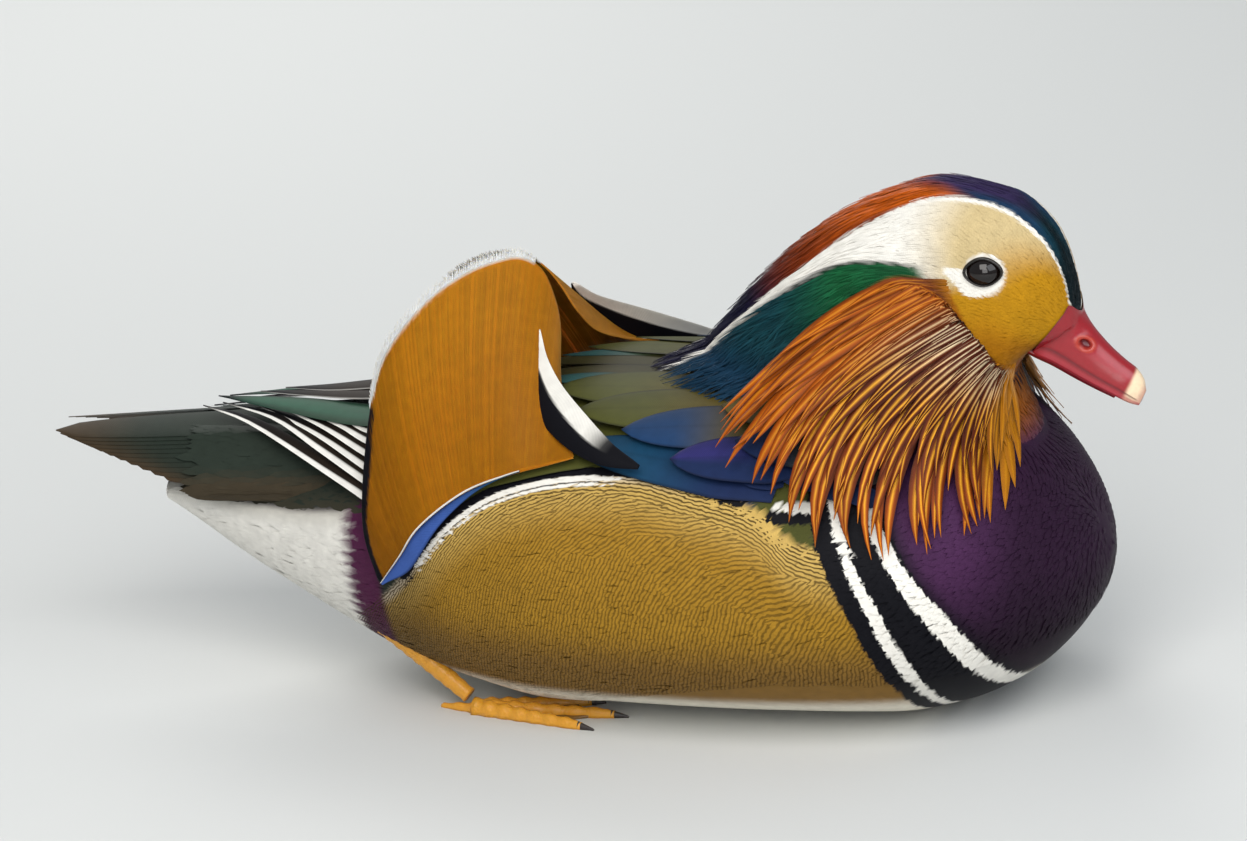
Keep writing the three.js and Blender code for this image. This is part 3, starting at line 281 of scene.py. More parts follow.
def neck_point(at, off, grow=0.0):
    at, off = np.clip(at, 0, SLICE_LAST), np.clip(off, -1, 1)
    low, up, tall = spoke(at, throat_x, throat_z, crown_x, crown_z)
    widest, c, s = slice_widest(at), np.cos(np.abs(off) * np.pi), np.sin(np.abs(off) * np.pi)
    reach = np.where(c >= 0, tall * (1 - widest), tall * widest) + grow
    power = 2 / NECK_ROUNDNESS
    risen = tall * widest + np.sign(c) * reach * np.abs(c)**power
    out = np.sign(off) * (slice_half(at) + grow) * s**power
    point = low + up * risen[..., None]
    point[..., 1] += out
    return point


def neck_unwrap(at, off):
    return np.stack([0.02 + 0.96 * at / SLICE_LAST, 0.8 + 0.18 * off + 0 * at], -1)


neck = Surface(neck_point, (0.03, 0.004), -1, neck_unwrap)
EYE_SLICE, EYE_OFF = 3.43, 0.4
print("eye at", np.round(neck.point(np.array(EYE_SLICE), np.array(-EYE_OFF)), 1))

# %% [markdown]
# ## Colours
#
# Each colour is named here once, as it looks in plain daylight, and turned into the linear light that a
# renderer adds up.

# %% Named colours
def tone(code):
    """A colour written as six hexadecimal digits, in linear light."""
    parts = np.array([int(code[i:i + 2], 16) for i in (0, 2, 4)]) / 255
    return np.where(parts <= 0.04045, parts / 12.92, ((parts + 0.055) / 1.055)**2.4)


TONES = {name: tone(code) for name, code in dict(
    breast="432346", breast_in_shade="190c1a", breast_back="40203a", belly="e2dccd", black="0b0b11",
    white="e3e0d8",
    cream="bfab7e", gold="ae7d10", ochre="a0660a", cheek_brown="8a4c0a",
    flank="9a7322", flank_pale="c0a058", flank_low="7c5c28", flank_rear="604a20",
    teal_black="06161b", crown_teal="0d3642", crown_blue="12304c", crown_purple="30264a", rust="bb560e",
    rust_deep="6a240c", indigo="171530", neck_green="12522e", neck_teal="103840", neck_blue="13304c",
    hackle="86380a", hackle_orange="a44e06", hackle_dark="300f0c", streak_cream="d9c8a4",
    streak_gold="dc9a24",
    olive="484a20", olive_dark="37341a", olive_brown="55491f", wing_blue="19375c", wing_teal="16405c",
    wing_violet="2e2c66", wing_deep="17264a", wing_sheen="2e5250", sail="a06004", sail_light="ac6c0c",
    sail_deep="804a00", sail_inner="d08c3c", sail_blue="3c5aa0", silver="f2efe8", flight_green="24543f",
    flight_brown="271f18", tail="29312a", tail_edge="4c3a28", rump="272e27", maroon="4a1c3c", bill="8e0e1a",
    bill_rose="a22c38", bill_dark="5c0a18", nostril="a83020", nail="eed3b0", foot="dd9a26", web="7d5a24",
    claw="2a2220", wave="33240c").items()}


def blend(under, upper, mask):
    """The upper colours over the lower ones where the mask is 1."""
    return under + (upper - under) * np.asarray(mask)[..., None]


def over(tint, *coats):
    """The colours with named ones laid over them in turn, each where its mask is 1."""
    for name, mask in coats:
        tint = blend(tint, TONES[name], mask)
    return tint


def paint(size, base, *coats):
    """A fresh coat of one colour over an array of points, and the named ones over it."""
    return over(np.broadcast_to(TONES[base], (*size, 3)).copy(), *coats)


print(len(TONES), "colours")

# %% [markdown]
# ## Markings of the body
#
# The markings run on from one feather to the next. They are functions of the place on the body, so skin and
# feathers agree. The two white bars at the breast side lean forwards as they go down. The folded wing goes
# in under the flank's upper edge.

# %% Body markings
FIRST_BAR = through([(0, 94), (30, 85), (40, 81), (45, 79.5), (62, 72), (78, 66), (100, 58)])
SECOND_BAR = through([(0, 116), (30, 103.5), (44, 96), (61, 85.5), (78, 76.5), (100, 66)])
flank_edge = through([
    (-95, 80), (-77, 74), (-58, 62), (-44, 57), (-30, 55), (-13, 54), (4, 55), (18, 59), (37, 64),
    (45.5, 68), (54, 75), (61, 76.5), (70, 77)])
RUMP_LINE = through([(VENT_X, 62), (-140, 60.5), (-118, 62), (-95, 66)])
FADED = 6.0  # a mark ends where so many mm are taken off its depth


def inside(value, low, high):
    """How far a value lies inside a range, less than 0 outside it."""
    return np.minimum(value - low, high - value)


def mark_distances(place):
    """How many mm inside the white bars and lines, and inside the black ones, the points of the torso lie."""
    x, z = place[..., 0], place[..., 2]
    from_edge = ridge_distance(x, torso_turn(place)) - flank_edge(x)
    first, second = x - FIRST_BAR(z), x - SECOND_BAR(z)
    low = soft(75, 45, z)
    bars = np.maximum(1.2 + 0.5 * low - np.abs(first), 1.7 + 1.2 * low - np.abs(second))
    below = from_edge - 2.1 - 0.3 * (1 - soft(-60, -20, x))
    lines = np.maximum(inside(below, 0, 1.8), inside(below, 2.5, 3.5))
    lines = lines - FADED * (1 - soft(-78, -68, x)) - FADED * soft(-10, 34, x)
    over_wing = FADED * (from_edge > 0)
    patch = np.minimum(np.minimum(z - 77.8 + 0.1 * (x - 60), 80.3 - z), np.minimum(x - 46, -4 - first))
    white = np.maximum(np.maximum(bars, lines), patch - over_wing)
    edge = np.maximum(np.minimum(from_edge + 0.9, -below), inside(below, 1.8, 2.5) - FADED * soft(-10, 34, x))
    edge = edge - FADED * (1 - soft(-82, -74, x)) - FADED * soft(36, 44, x)
    under_patch = np.minimum(inside(z, 75.6, 78.4), np.minimum(x - 44, -first)) - over_wing
    front = np.minimum(first + 7.2, 3 - second)
    return white, np.maximum(np.maximum(edge, under_patch), front)


def body_tint(place, marked=True):
    """The colour at points of the torso. Unmarked, it leaves the sharp white and black to the finish."""
    x, z = place[..., 0], place[..., 2]
    from_edge = ridge_distance(x, torso_turn(place)) - flank_edge(x)
    first, second = x - FIRST_BAR(z), x - SECOND_BAR(z)
    in_front, on_side, rear = soft(-7.6, -6.8, first), soft(-0.3, 0.3, from_edge), 1 - soft(-86, -83, x)
    # The breast is painted lighter high up, where the light falls, and painted shade low down and at its
    # front edge.
    lit = soft(30, 66, z + 0.25 * (x - 100)) * (1 - 0.75 * soft(100, 120, x))
    tint = paint(x.shape, "breast_in_shade", ("breast", lit))

    # The flank, from pale at its upper edge to brownish at its foot and rear.
    flank = paint(x.shape, "flank", ("flank_pale", 1 - soft(2, 22, from_edge)),
                  ("white", 0.7 * (1 - soft(2, 6, from_edge)) * (1 - soft(-20, 30, x))),
                  ("flank_low", 1 - soft(26, 44, z)), ("flank_rear", 0.6 * (1 - soft(-78, -56, x))))
    tint = blend(tint, flank, (1 - in_front) * (1 - rear) * on_side)

    # Black in front of it, which fades into the purple breast, and the back above it.
    tint = over(tint, ("black", in_front * (1 - soft(1, 9, second))))
    back = paint(x.shape, "rump", ("olive", soft(-62, -46, x)),
                 ("wing_deep", soft(0, 12, from_edge + 14) * soft(-10, 20, x) * (1 - soft(38, 44, x))))
    tint = blend(tint, back, (1 - on_side) * (1 - in_front))

    # The rear: a maroon patch, the white under the tail, painted a little brown as shade just under its upper
    # edge, and the dark rump over it.
    ragged = 1.2 * np.sin(1.7 * z) + 0.9 * np.sin(3.1 * z + 1)
    over_line = z - RUMP_LINE(x)
    under = (1 - soft(-99, -94, x + ragged)) * (1 - soft(-1.5, 1.5, over_line))
    tint = over(tint, ("maroon", rear), ("white", under),
                ("olive_brown", 0.35 * under * soft(-7, 0, over_line)),
                ("rump", soft(-1.5, 1.5, over_line - 5 * soft(-100, -84, x)) * rear),
                ("belly", 1 - soft(10, 17, z)))
    if marked:
        white, black = mark_distances(place)
        tint = over(tint, ("black", soft(-0.1, 0.1, black)), ("white", soft(-0.1, 0.1, white)))
    return tint


print("first bar at the waterline: x", float(FIRST_BAR(37)), "mm")

# %% [markdown]
# ## Markings of the head
#
# A dark strip runs from the bill over the crown. Beside it the pale brow covers the upper face and narrows
# into white plumes over the neck. Below the eye the face is golden, with a white drop round the eye. Each
# border is a curve that gives, for every slice, how far off the crown line it lies.

# %% Head markings
crown_edge = through([
    (0, 0.1), (0.32, 0.13), (0.8, 0.15), (1.2, 0.13), (1.7, 0.126), (2.2, 0.126), (2.8, 0.124),
    (3.35, 0.115), (4.1, 0.118), (4.6, 0.126), (5.29, 0.142), (6.0, 0.145), (6.34, 0.13), (6.77, 0.112),
    (7.32, 0.085), (8.39, 0.02)])
brow_edge = through([
    (4.3, 0.40), (4.88, 0.335), (5.24, 0.285), (5.54, 0.24), (5.79, 0.21), (6.1, 0.192), (6.35, 0.172),
    (6.6, 0.148), (6.85, 0.126), (7.2, 0.102), (7.66, 0.078), (8.4, 0.025)])
ruff_edge = through([
    (4.3, 0.44), (4.47, 0.43), (4.67, 0.395), (4.98, 0.36), (5.3, 0.342), (5.82, 0.333), (6.53, 0.326),
    (7.24, 0.314), (8.1, 0.305)])
cheek_edge = through([
    (0, 0.95), (1.2, 0.92), (2.2, 0.873), (3.2, 0.81), (4.0, 0.74), (4.33, 0.643), (4.44, 0.57),
    (4.52, 0.46), (4.62, 0.41), (5, 0.37), (6, 0.34)])
EYE_PLACE = np.array([106.8, 141.7])  # x and z
MIDLINE = 0.043  # the crown's stripe lies this much to the right at the forehead
NARROWER = 0.025  # and is this much narrower there on either side


def head_tint(at, off):
    """The colour at points of the head and neck."""
    place = neck_point(at, off)
    forehead = 1 - soft(2.4, 3.4, at)
    off = np.abs(off + MIDLINE * forehead) + NARROWER * forehead
    wobble = 0.004 * np.sin(40 * at + 90 * off)
    crown = paint(at.shape, "teal_black",
                  ("crown_teal", soft(1.2, 2.2, at) * soft(0.02, 0.1, off)),
                  ("crown_blue", band(2.2, 4.0, 0.5, at) * soft(0.05, 0.1, off)),
                  ("crown_purple", soft(2.2, 3.2, at) * (1 - soft(0.05, 0.11, off))),
                  ("rust", soft(3.5, 4.2, at - 6.5 * (0.1 - off))),
                  ("rust_deep", np.maximum(0.85 * soft(5.2, 6.3, at + 3 * off),
                                           0.7 * soft(0.1, 0.135, off) * soft(4.2, 4.8, at))),
                  ("indigo", soft(6.0, 6.9, at)))

    # The face: cream above the eye and white behind it, golden in front and ochre below.
    golden = np.maximum(soft(0.05, 0.62, 2.2 * (off - 0.25) + 0.38 * (3.3 - at)), soft(0.425, 0.475, off))
    brow = 0.016 + 0.016 * soft(1.0, 2.6, at)
    ahead, below = place[..., 0] - EYE_PLACE[0], EYE_PLACE[1] - place[..., 2]
    ring = np.hypot(ahead / 6.0, below / (5.2 + 1.9 * soft(-1, 4, below)))
    wedge = band(0.12 * ahead, 7.8 * soft(-14, -4.5, ahead), 0.5, below) * band(-12.5, -1, 0.6, ahead)
    face = paint(at.shape, "cream", ("white", soft(3.7, 4.9, at + 2 * (0.3 - off))), ("gold", golden),
                 ("ochre", 0.85 * soft(0.48, 0.66, off)),
                 ("white", 1 - soft(0.5 * brow, brow, off - crown_edge(at))),
                 ("white", np.maximum(1 - soft(0.98, 1.12, ring), wedge)))

    # Behind the face: green plumes over the ruff's roots.
    side = paint(at.shape, "neck_green", ("neck_teal", soft(5.6, 7.0, at + 4 * (0.25 - off))),
                 ("neck_blue", soft(7.0, 8.2, at)))
    under_brow, under_cheek = off - brow_edge(at), off - cheek_edge(at)
    ruffed = np.maximum(soft(0.0, 0.02, off - ruff_edge(at)) * soft(4.25, 4.4, at),
                        soft(-0.05, 0.03, under_cheek) * (at < 4.6))
    tint = over(blend(face, side, soft(0.0, 0.012, under_brow + wobble) * soft(4.55, 4.8, at)),
                ("black", 0.7 * band(-0.004, 0.012, 0.006, under_brow) * band(4.7, 6.6, 0.3, at)),
                ("cheek_brown", ruffed), ("hackle_dark", soft(0.05, 0.16, under_cheek) * (at < 6)),
                ("breast_back", soft(8.3, 9, at)))
    return blend(tint, crown, 1 - soft(-0.008, 0.004, off - crown_edge(at) + wobble))


print("crown edge over the eye:", float(crown_edge(EYE_SLICE)))

# %% [markdown]
# ## Meshes from arrays
#
# Each kind of feather becomes one mesh, whose points, faces, colours and two maps go in as whole arrays.
# The map called OFBake gives every feather a small patch at the place where it is rooted, on an unwrap of
# the skin. The map called Vane has mm across and along the feather, so that barbs keep one pitch on small
# and large ones.

# %% Build one mesh piece
BODY = "root"


def piece(name, points, loops, sizes, material, slot, tint=None, maps=None, marks=None):
    """One object from arrays in mm: faces are given by their corners in a row and how many each has."""
    mesh = bpy.data.meshes.new(name)
    loops, sizes = np.asarray(loops, np.int32).ravel(), np.asarray(sizes, np.int32)
    mesh.vertices.add(len(points))
    mesh.vertices.foreach_set("co", (np.asarray(points, float) * MM).astype(np.float32).ravel())
    mesh.loops.add(len(loops))
    mesh.loops.foreach_set("vertex_index", loops)
    mesh.polygons.add(len(sizes))
    mesh.polygons.foreach_set("loop_start", np.concatenate([[0], np.cumsum(sizes)[:-1]]).astype(np.int32))
    mesh.update(calc_edges=True)
    mesh.polygons.foreach_set("use_smooth", np.full(len(sizes), True))
    if tint is not None:
        set_tint(mesh, tint)
    for label, values in (marks or {}).items():
        mark = mesh.attributes.new(label, "FLOAT", "POINT")
        mark.data.foreach_set("value", np.asarray(values, np.float32))
    for label, places in (maps or {}).items():
        layer = mesh.uv_layers.new(name=label)
        layer.data.foreach_set("uv", np.asarray(places, np.float32)[loops].ravel())
    made = bpy.data.objects.new(name, mesh)
    bpy.context.scene.collection.objects.link(made)
    mesh.materials.append(material)
    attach(made, BODY)
    print(f"{name}: {len(points)} points, {int((sizes - 2).sum())} triangles")
    return made


def set_tint(mesh, tint):
    layer = mesh.color_attributes.new("tint", "FLOAT_COLOR", "POINT")
    four = np.concatenate([np.clip(tint, 0, 1), np.ones((len(tint), 1))], 1)
    layer.data.foreach_set("color", four.astype(np.float32).ravel())


def listed(faces):
    """The corners of a list of faces in a row, and how many each face has."""
    return np.concatenate([np.asarray(face) for face in faces]), [len(face) for face in faces]


def grid_faces(rows, columns, closed=False):
    """The quads of a grid of points, closed to a tube if asked."""
    i, j = np.meshgrid(np.arange(rows - 1), np.arange(columns if closed else columns - 1), indexing="ij")
    k = (j + 1) % columns
    quads = np.stack([i * columns + j, (i + 1) * columns + j, (i + 1) * columns + k, i * columns + k], -1)
    return quads.reshape(-1, 4)


def arch_faces(rows, columns):
    """The faces of a row of arches, of the flat sole between their feet and of both ends."""
    start = np.arange(rows) * columns
    end = start + columns - 1
    sole = np.stack([end[:-1], end[1:], start[1:], start[:-1]], -1)
    first = list(range(columns))
    return [*grid_faces(rows, columns).tolist(), *sole.tolist(), first, [i + start[-1] for i in first][::-1]]


def slab_faces(rows, columns):
    """The quads of an upper and a lower grid of points, with walls along their rims."""
    quads, count = grid_faces(rows, columns), rows * columns
    grid = np.arange(count).reshape(rows, columns)
    ring = np.concatenate([grid[:, 0], grid[-1, 1:], grid[-2::-1, -1], grid[0, -2:0:-1]])
    ahead = np.roll(ring, -1)
    walls = np.stack([ring, ahead, ahead + count, ring + count], -1)
    return np.concatenate([quads, quads[:, ::-1] + count, walls[:, ::-1]])


# %% [markdown]
# ## One maker for all feathers
#
# Every feather, lock and barb is a vane: a path with a face direction, a width and a thickness. It is
# closed, thickest along its shaft and sharp at both edges. All vanes of a piece share one pattern of faces.

# %% Vanes
PATCH = 0.003  # how large each feather's patch is on the unwrap


def vane_faces(rows, across):
    """Faces of one vane: its upper grid, its lower grid between the same edges, and both ends."""
    top = np.arange(rows * across).reshape(rows, across)
    low = top.copy()
    low[:, 1:-1] = rows * across + np.arange(rows * (across - 2)).reshape(rows, across - 2)
    faces = []
    for i in range(rows - 1):
        for j in range(across - 1):
            faces.append([top[i, j], top[i + 1, j], top[i + 1, j + 1], top[i, j + 1]])
            faces.append([low[i, j], low[i, j + 1], low[i + 1, j + 1], low[i + 1, j]])
    faces.append([*top[0], *low[0, -2:0:-1]])
    faces.append([*top[-1, ::-1], *low[-1, 1:-1]])
    return faces


def vanes(name, path, out, half, thick, material, slot, tint, cup=0.0, across=3, roots=None, marks=None):
    """A piece of n vanes. path and out are (n, rows, 3), half and thick (n, rows), and tint is a function of
    the vanes' points and of where across them these lie. across is how many points a row has, or the points.
    The roots on the unwrap are those of the nearest skin, unless they are given."""
    path, out = np.array(path), np.array(out)
    n, rows = path.shape[:2]
    along = unit(np.gradient(path, axis=1))
    out = unit(out - (out * along).sum(-1, keepdims=True) * along)
    side = np.cross(out, along)
    v = np.linspace(-1, 1, across) if isinstance(across, int) else np.array(across, float)
    across = len(v)
    half, thick = (np.broadcast_to(values, (n, rows)) for values in (half, thick))
    roots = skin_roots(path[:, 0]) if roots is None else roots
    level = -cup * half[..., None] * v**2
    bulge = thick[..., None] / 2 * np.sqrt(1 - v**2)
    flat = path[:, :, None] + side[:, :, None] * (half[..., None] * v)[..., None]
    top = flat + out[:, :, None] * (level + bulge)[..., None]
    low = flat + out[:, :, None] * (level - bulge)[..., None]
    points = np.concatenate([top.reshape(n, -1, 3), low[:, :, 1:-1].reshape(n, -1, 3)], 1)
    per = points.shape[1]

    corners, sizes = listed(vane_faces(rows, across))
    sizes = np.tile(sizes, n)
    loops = (corners[None] + per * np.arange(n)[:, None]).ravel()

    def spread(values):
        """Values on the upper grid, (n, rows, across, ...), repeated for the lower points."""
        tail = values.shape[3:]
        return np.concatenate([values.reshape(n, -1, *tail), values[:, :, 1:-1].reshape(n, -1, *tail)], 1)

    share = np.broadcast_to(np.linspace(0, 1, rows)[None, :, None], (n, rows, across))
    wide = np.broadcast_to(v, (n, rows, across))
    colours = spread(tint(top, share, wide)).reshape(-1, 3)
    long = np.linalg.norm(np.diff(path, axis=1), axis=-1).sum(1)
    in_mm = np.stack([wide * half[..., None], share * long[:, None, None]], -1)
    spot = roots[:, None, None] + PATCH * np.stack([wide / 2, share - 0.5], -1)
    maps = {"OFBake": spread(spot).reshape(-1, 2), "Vane": spread(in_mm).reshape(-1, 2)}
    extra = {label: spread(values).ravel() for label, values in (marks(top) if marks else {}).items()}
    made = piece(name, points.reshape(-1, 3), loops, sizes, material, slot, colours, maps, extra)
    sharpen_rims(made, per, rows, across)
    return made


def sharpen_rims(made, per, rows, across):
    """Marks the outline of each vane as sharp, so that its faces shade as flat blades."""
    edges = np.empty(2 * len(made.data.edges), np.int32)
    made.data.edges.foreach_get("vertices", edges)
    first, second = (edges.reshape(-1, 2) % per).T
    on_top = np.maximum(first, second) < rows * across
    column, row = first % across, first // across
    side_edge = (column == second % across) & ((column == 0) | (column == across - 1))
    end_edge = (row == second // across) & ((row == 0) | (row == rows - 1))
    rim = on_top & (side_edge | end_edge)
    mark = made.data.attributes.new("sharp_edge", "BOOLEAN", "EDGE")
    mark.data.foreach_set("value", rim)


def laid(surface, u, v, du, dv, length, heights, rows):
    """Paths over a surface from (u, v) along (du, dv) per mm, rising from the first height to the last."""
    t = np.linspace(0, 1, rows)
    uu = u[:, None] + (du * length)[:, None] * t
    vv = v[:, None] + (dv * length)[:, None] * t
    height = through([(0, heights[0]), (0.5, heights[1]), (1, heights[2])])(t)
    height = np.broadcast_to(height, uu.shape)
    return surface.lift(uu, vv, height), surface.normal(uu, vv), uu, vv


def wider(values, wide):
    """Values for each row of some vanes, repeated for the points across them."""
    return np.broadcast_to(values[..., None], wide.shape)


# Outlines of vanes, as the share of the half width along their length.
round_tip = lambda t: np.minimum(1, 0.5 + 1.6 * t) * np.sqrt(np.maximum(0, 1 - t**4))
point_tip = lambda t: np.minimum(1, 0.55 + 1.8 * t) * (1 - t**2.4)
hair_tip = lambda t: np.minimum(1, 0.7 + 1.0 * t) * (1 - t**1.6)
print("a vane of 5 rows has", len(vane_faces(5, 3)), "faces")

# %% [markdown]
# ## Where feathers grow
#
# Feathers are rooted evenly but not in a grid. Places are thrown at random in proportion to the area, and
# one is kept if none is nearer than the spacing. A coarse lattice of cells makes the look-up quick.

# %% Scatter roots
def scatter(surface, u_range, v_range, spacing, seed, keep=None, tries=5):
    """Random places (u, v) on a surface, no two nearer than the spacing in mm."""
    random = np.random.default_rng(seed)
    cells = 80
    us = np.linspace(min(u_range), max(u_range), cells + 1)
    vs = np.linspace(min(v_range), max(v_range), cells + 1)
    uu, vv = np.meshgrid((us[1:] + us[:-1]) / 2, (vs[1:] + vs[:-1]) / 2, indexing="ij")
    along, across = surface.slopes(uu, vv)
    area = np.linalg.norm(np.cross(along, across), axis=-1) * (us[1] - us[0]) * (vs[1] - vs[0])
    count = int(area.sum() / spacing**2 * tries)
    chosen = random.choice(area.size, count, p=area.ravel() / area.sum())
    u = uu.ravel()[chosen] + (random.random(count) - 0.5) * (us[1] - us[0])
    v = vv.ravel()[chosen] + (random.random(count) - 0.5) * (vs[1] - vs[0])
    places = surface.point(u, v)
    if keep is not None:
        good = keep(u, v, places)
        u, v, places = u[good], v[good], places[good]
    lattice, kept = {}, []
    homes = np.floor(places / spacing).astype(int)
    near = [(a, b, c) for a in (-1, 0, 1) for b in (-1, 0, 1) for c in (-1, 0, 1)]
    for i, (home, place) in enumerate(zip(homes.tolist(), places.tolist())):
        others = (other for a, b, c in near
                  for other in lattice.get((home[0] + a, home[1] + b, home[2] + c), ()))
        if all(sum((p - q)**2 for p, q in zip(other, place)) >= spacing**2 for other in others):
            lattice.setdefault(tuple(home), []).append(place)
            kept.append(i)
    return u[kept], v[kept]


print("scatter test:", len(scatter(torso, (-20, 20), (-0.2, 0.2), 8, 1)[0]), "places")

# %% [markdown]
# ## Feather finish
#
# A vane is combed from its shaft outwards in fine barbs, which are stripes in the Vane map. The finish takes
# its colour from the markings, paints a little shade into the gaps between the barbs, and gives it a soft
# sheen.

# %% A finish in the making
class Finish:
    """A material whose nodes take numbers or other nodes as inputs."""

    def __init__(self, name, sockets):
        self.material = bpy.data.materials.new(name)
        self.material.use_nodes = True
        self.tree = self.material.node_tree
        self.shader = self.feed(self.tree.nodes["Principled BSDF"], sockets)

    def feed(self, node, sockets):
        for label, value in sockets.items():
            if isinstance(value, bpy.types.Node):
                value = next(output for output in value.outputs if output.enabled)
            if isinstance(value, bpy.types.NodeSocket):
                self.tree.links.new(value, node.inputs[label])
            else:
                node.inputs[label].default_value = value
        return node

    def node(self, kind, sockets=None, **settings):
        made = self.tree.nodes.new("ShaderNode" + kind)
        for key, value in settings.items():
            setattr(made, key, value)
        return self.feed(made, sockets or {})

    def math(self, operation, *values):
        return self.node("Math", dict(enumerate(values)), operation=operation)

    def mark(self, label):
        """A number that the points of the mesh carry."""
        return self.node("Attribute", attribute_name=label).outputs["Fac"]

    def mix(self, factor, under, upper, **settings):
        return self.node("Mix", {"Factor": factor, "A": under, "B": upper}, data_type="RGBA", **settings)

    def shaded_tint(self, level):
        """The mesh's own tint times a grey."""
        grey = self.node("CombineColor", {0: level, 1: level, 2: level})
        tint = self.node("VertexColor", layer_name="tint")
        return self.mix(1.0, tint, grey, blend_type="MULTIPLY")

    def done(self, colour, height=None, strength=0.0, distance=0.0002):
        """Joins the colour and a bump to the shader."""
        self.feed(self.shader, {"Base Color": colour})
        if height is not None:
            bump = self.node("Bump", {"Strength": strength, "Distance": distance, "Height": height})
            self.feed(self.shader, {"Normal": bump})
        return self.material


# %% Plumage
def plumage(name, barb=0.7, contrast=0.25, rough=0.55, sheen=0.25, waves=False, marked=False, lean=0.9,
            bump=0.35, glow=0.0):
    """Feather finish. barb is the pitch of the barbs in mm, and contrast how much darker their gaps are
    painted, as shade.
    """
    finish = Finish(name, {"Roughness": rough, "Sheen Weight": sheen, "Sheen Roughness": 0.4,
                           "Specular IOR Level": 0.1, "Subsurface Weight": glow,
                           "Subsurface Radius": (1.0, 0.5, 0.2), "Subsurface Scale": 0.003})
    place = finish.node("TexCoord").outputs["Object"]
    apart = finish.node("SeparateXYZ", {0: finish.node("UVMap", uv_map="Vane")})
    noise = finish.node("TexNoise", {"Scale": 260.0, "Detail": 3.0, "Vector": place})
    slanted = finish.math("MULTIPLY", finish.math("ABSOLUTE", apart.outputs[0]), lean)
    comb = finish.math("SUBTRACT", apart.outputs[1], slanted)
    shaken = finish.math("ADD", comb, finish.math("MULTIPLY", noise, 0.5))
    stripe = finish.math("SINE", finish.math("MULTIPLY", shaken, 2 * math.pi / barb))
    level = finish.math("MULTIPLY", finish.math("ADD", stripe, 1.0), 0.5)
    # Painted shade: the gaps between the barbs are a little darker.
    depth = finish.math("SUBTRACT", 1.0, finish.math("MULTIPLY", level, contrast))
    blotch = finish.math("ADD", finish.math("MULTIPLY", noise, 0.36), 0.82)
    colour = finish.shaded_tint(finish.math("MULTIPLY", depth, blotch))
    if waves:
        colour = add_waves(finish, colour, place)
    if marked:
        for label, tone_name in (("inside_black", "black"), ("inside_white", "white")):
            sharp = finish.node("MapRange", {"Value": finish.mark(label), "From Min": 0.02, "From Max": 0.22})
            colour = finish.mix(sharp, colour, (*TONES[tone_name], 1))
    return finish.done(colour, level, bump)


def add_waves(finish, colour, place, pitch=1.22):
    """Fine dark wavy lines. Marks of the mesh give their strength and their phase in mm."""
    wander = finish.node("TexNoise", {"Scale": 420.0, "Detail": 1.0, "Vector": place})
    moved = finish.math("ADD", finish.mark("phase"), finish.math("MULTIPLY", wander, 1.3))
    wave = finish.math("SINE", finish.math("MULTIPLY", moved, 2 * math.pi / pitch))
    line = finish.node("MapRange", {"Value": wave, "From Min": -0.1, "From Max": 0.6})
    return finish.mix(finish.math("MULTIPLY", line, finish.mark("waves")), colour, (*TONES["wave"], 1))


DOWN = plumage("short_feathers", barb=0.9, contrast=0.06, rough=0.6, sheen=0.03, marked=True, bump=0.05)
FLANK = plumage("flank_feathers", barb=0.9, contrast=0.03, rough=0.62, sheen=0.02, waves=True, marked=True,
                bump=0.03)
SILK = plumage("silky_plumes", barb=0.6, contrast=0.12, rough=0.42, sheen=0.05, lean=0.3, bump=0.12)
SMOOTH = plumage("smooth_vanes", barb=0.6, contrast=0.2, rough=0.55, sheen=0.01, bump=0.14)
print("feather finishes made")

# %% [markdown]
# ## One skin
#
# Torso, neck and head have to meet without a seam. Two lofts, inside the solids by the depth of the
# feathers, are joined into one closed mesh on a fine lattice. Smoothing fills the crease where the neck
# meets the shoulders.

# %% Skin
BODY_COAT, HEAD_COAT = 0.7, 0.3  # how deep the feathers are over the skin, in mm
TORSO_RINGS, NECK_RINGS, ROUND = 150, 80, 96


def loft(surface_point, us, grow):
    """A closed tube of rings, its ends shut by fans."""
    uu, vv = np.meshgrid(us, np.linspace(-1, 1, ROUND, endpoint=False), indexing="ij")
    rings = surface_point(uu, vv, grow)
    points = np.concatenate([rings.reshape(-1, 3), rings[:1].mean(1), rings[-1:].mean(1)])
    quads = grid_faces(len(us), ROUND, closed=True)
    first, last, row = len(points) - 2, len(points) - 1, np.arange(ROUND)
    ahead = (row + 1) % ROUND
    start = (len(us) - 1) * ROUND
    fans = [np.stack([row, ahead, np.full(ROUND, first)], -1),
            np.stack([start + ahead, start + row, np.full(ROUND, last)], -1)]
    return points, [*quads.tolist(), *fans[0].tolist(), *fans[1].tolist()]


crowded = np.linspace(0, 1, TORSO_RINGS)
torso_us = VENT_X + (BREAST_X - VENT_X) * (0.4 * crowded + 0.6 * (1 - np.cos(crowded * np.pi)) / 2)
body_points, body_faces = loft(torso_point, torso_us, -BODY_COAT)
neck_points, neck_faces = loft(neck_point, np.linspace(0, SLICE_LAST, NECK_RINGS), -HEAD_COAT)
joined = bpy.data.meshes.new("skin")
offset = len(body_points)
joined.from_pydata((np.concatenate([body_points, neck_points]) * MM).tolist(), [],
                   body_faces + [[i + offset for i in face] for face in neck_faces])
skin = bpy.data.objects.new("skin", joined)
bpy.context.scene.collection.objects.link(skin)
remesh = skin.modifiers.new("lattice", "REMESH")
remesh.mode, remesh.voxel_size, remesh.use_smooth_shade = "VOXEL", 1.3 * MM, True
relax = skin.modifiers.new("relax", "SMOOTH")
relax.factor, relax.iterations = 0.5, 8
bpy.context.view_layer.update()
shaped_mesh = bpy.data.meshes.new_from_object(skin.evaluated_get(bpy.context.evaluated_depsgraph_get()))
skin.modifiers.clear()
skin.data = shaped_mesh
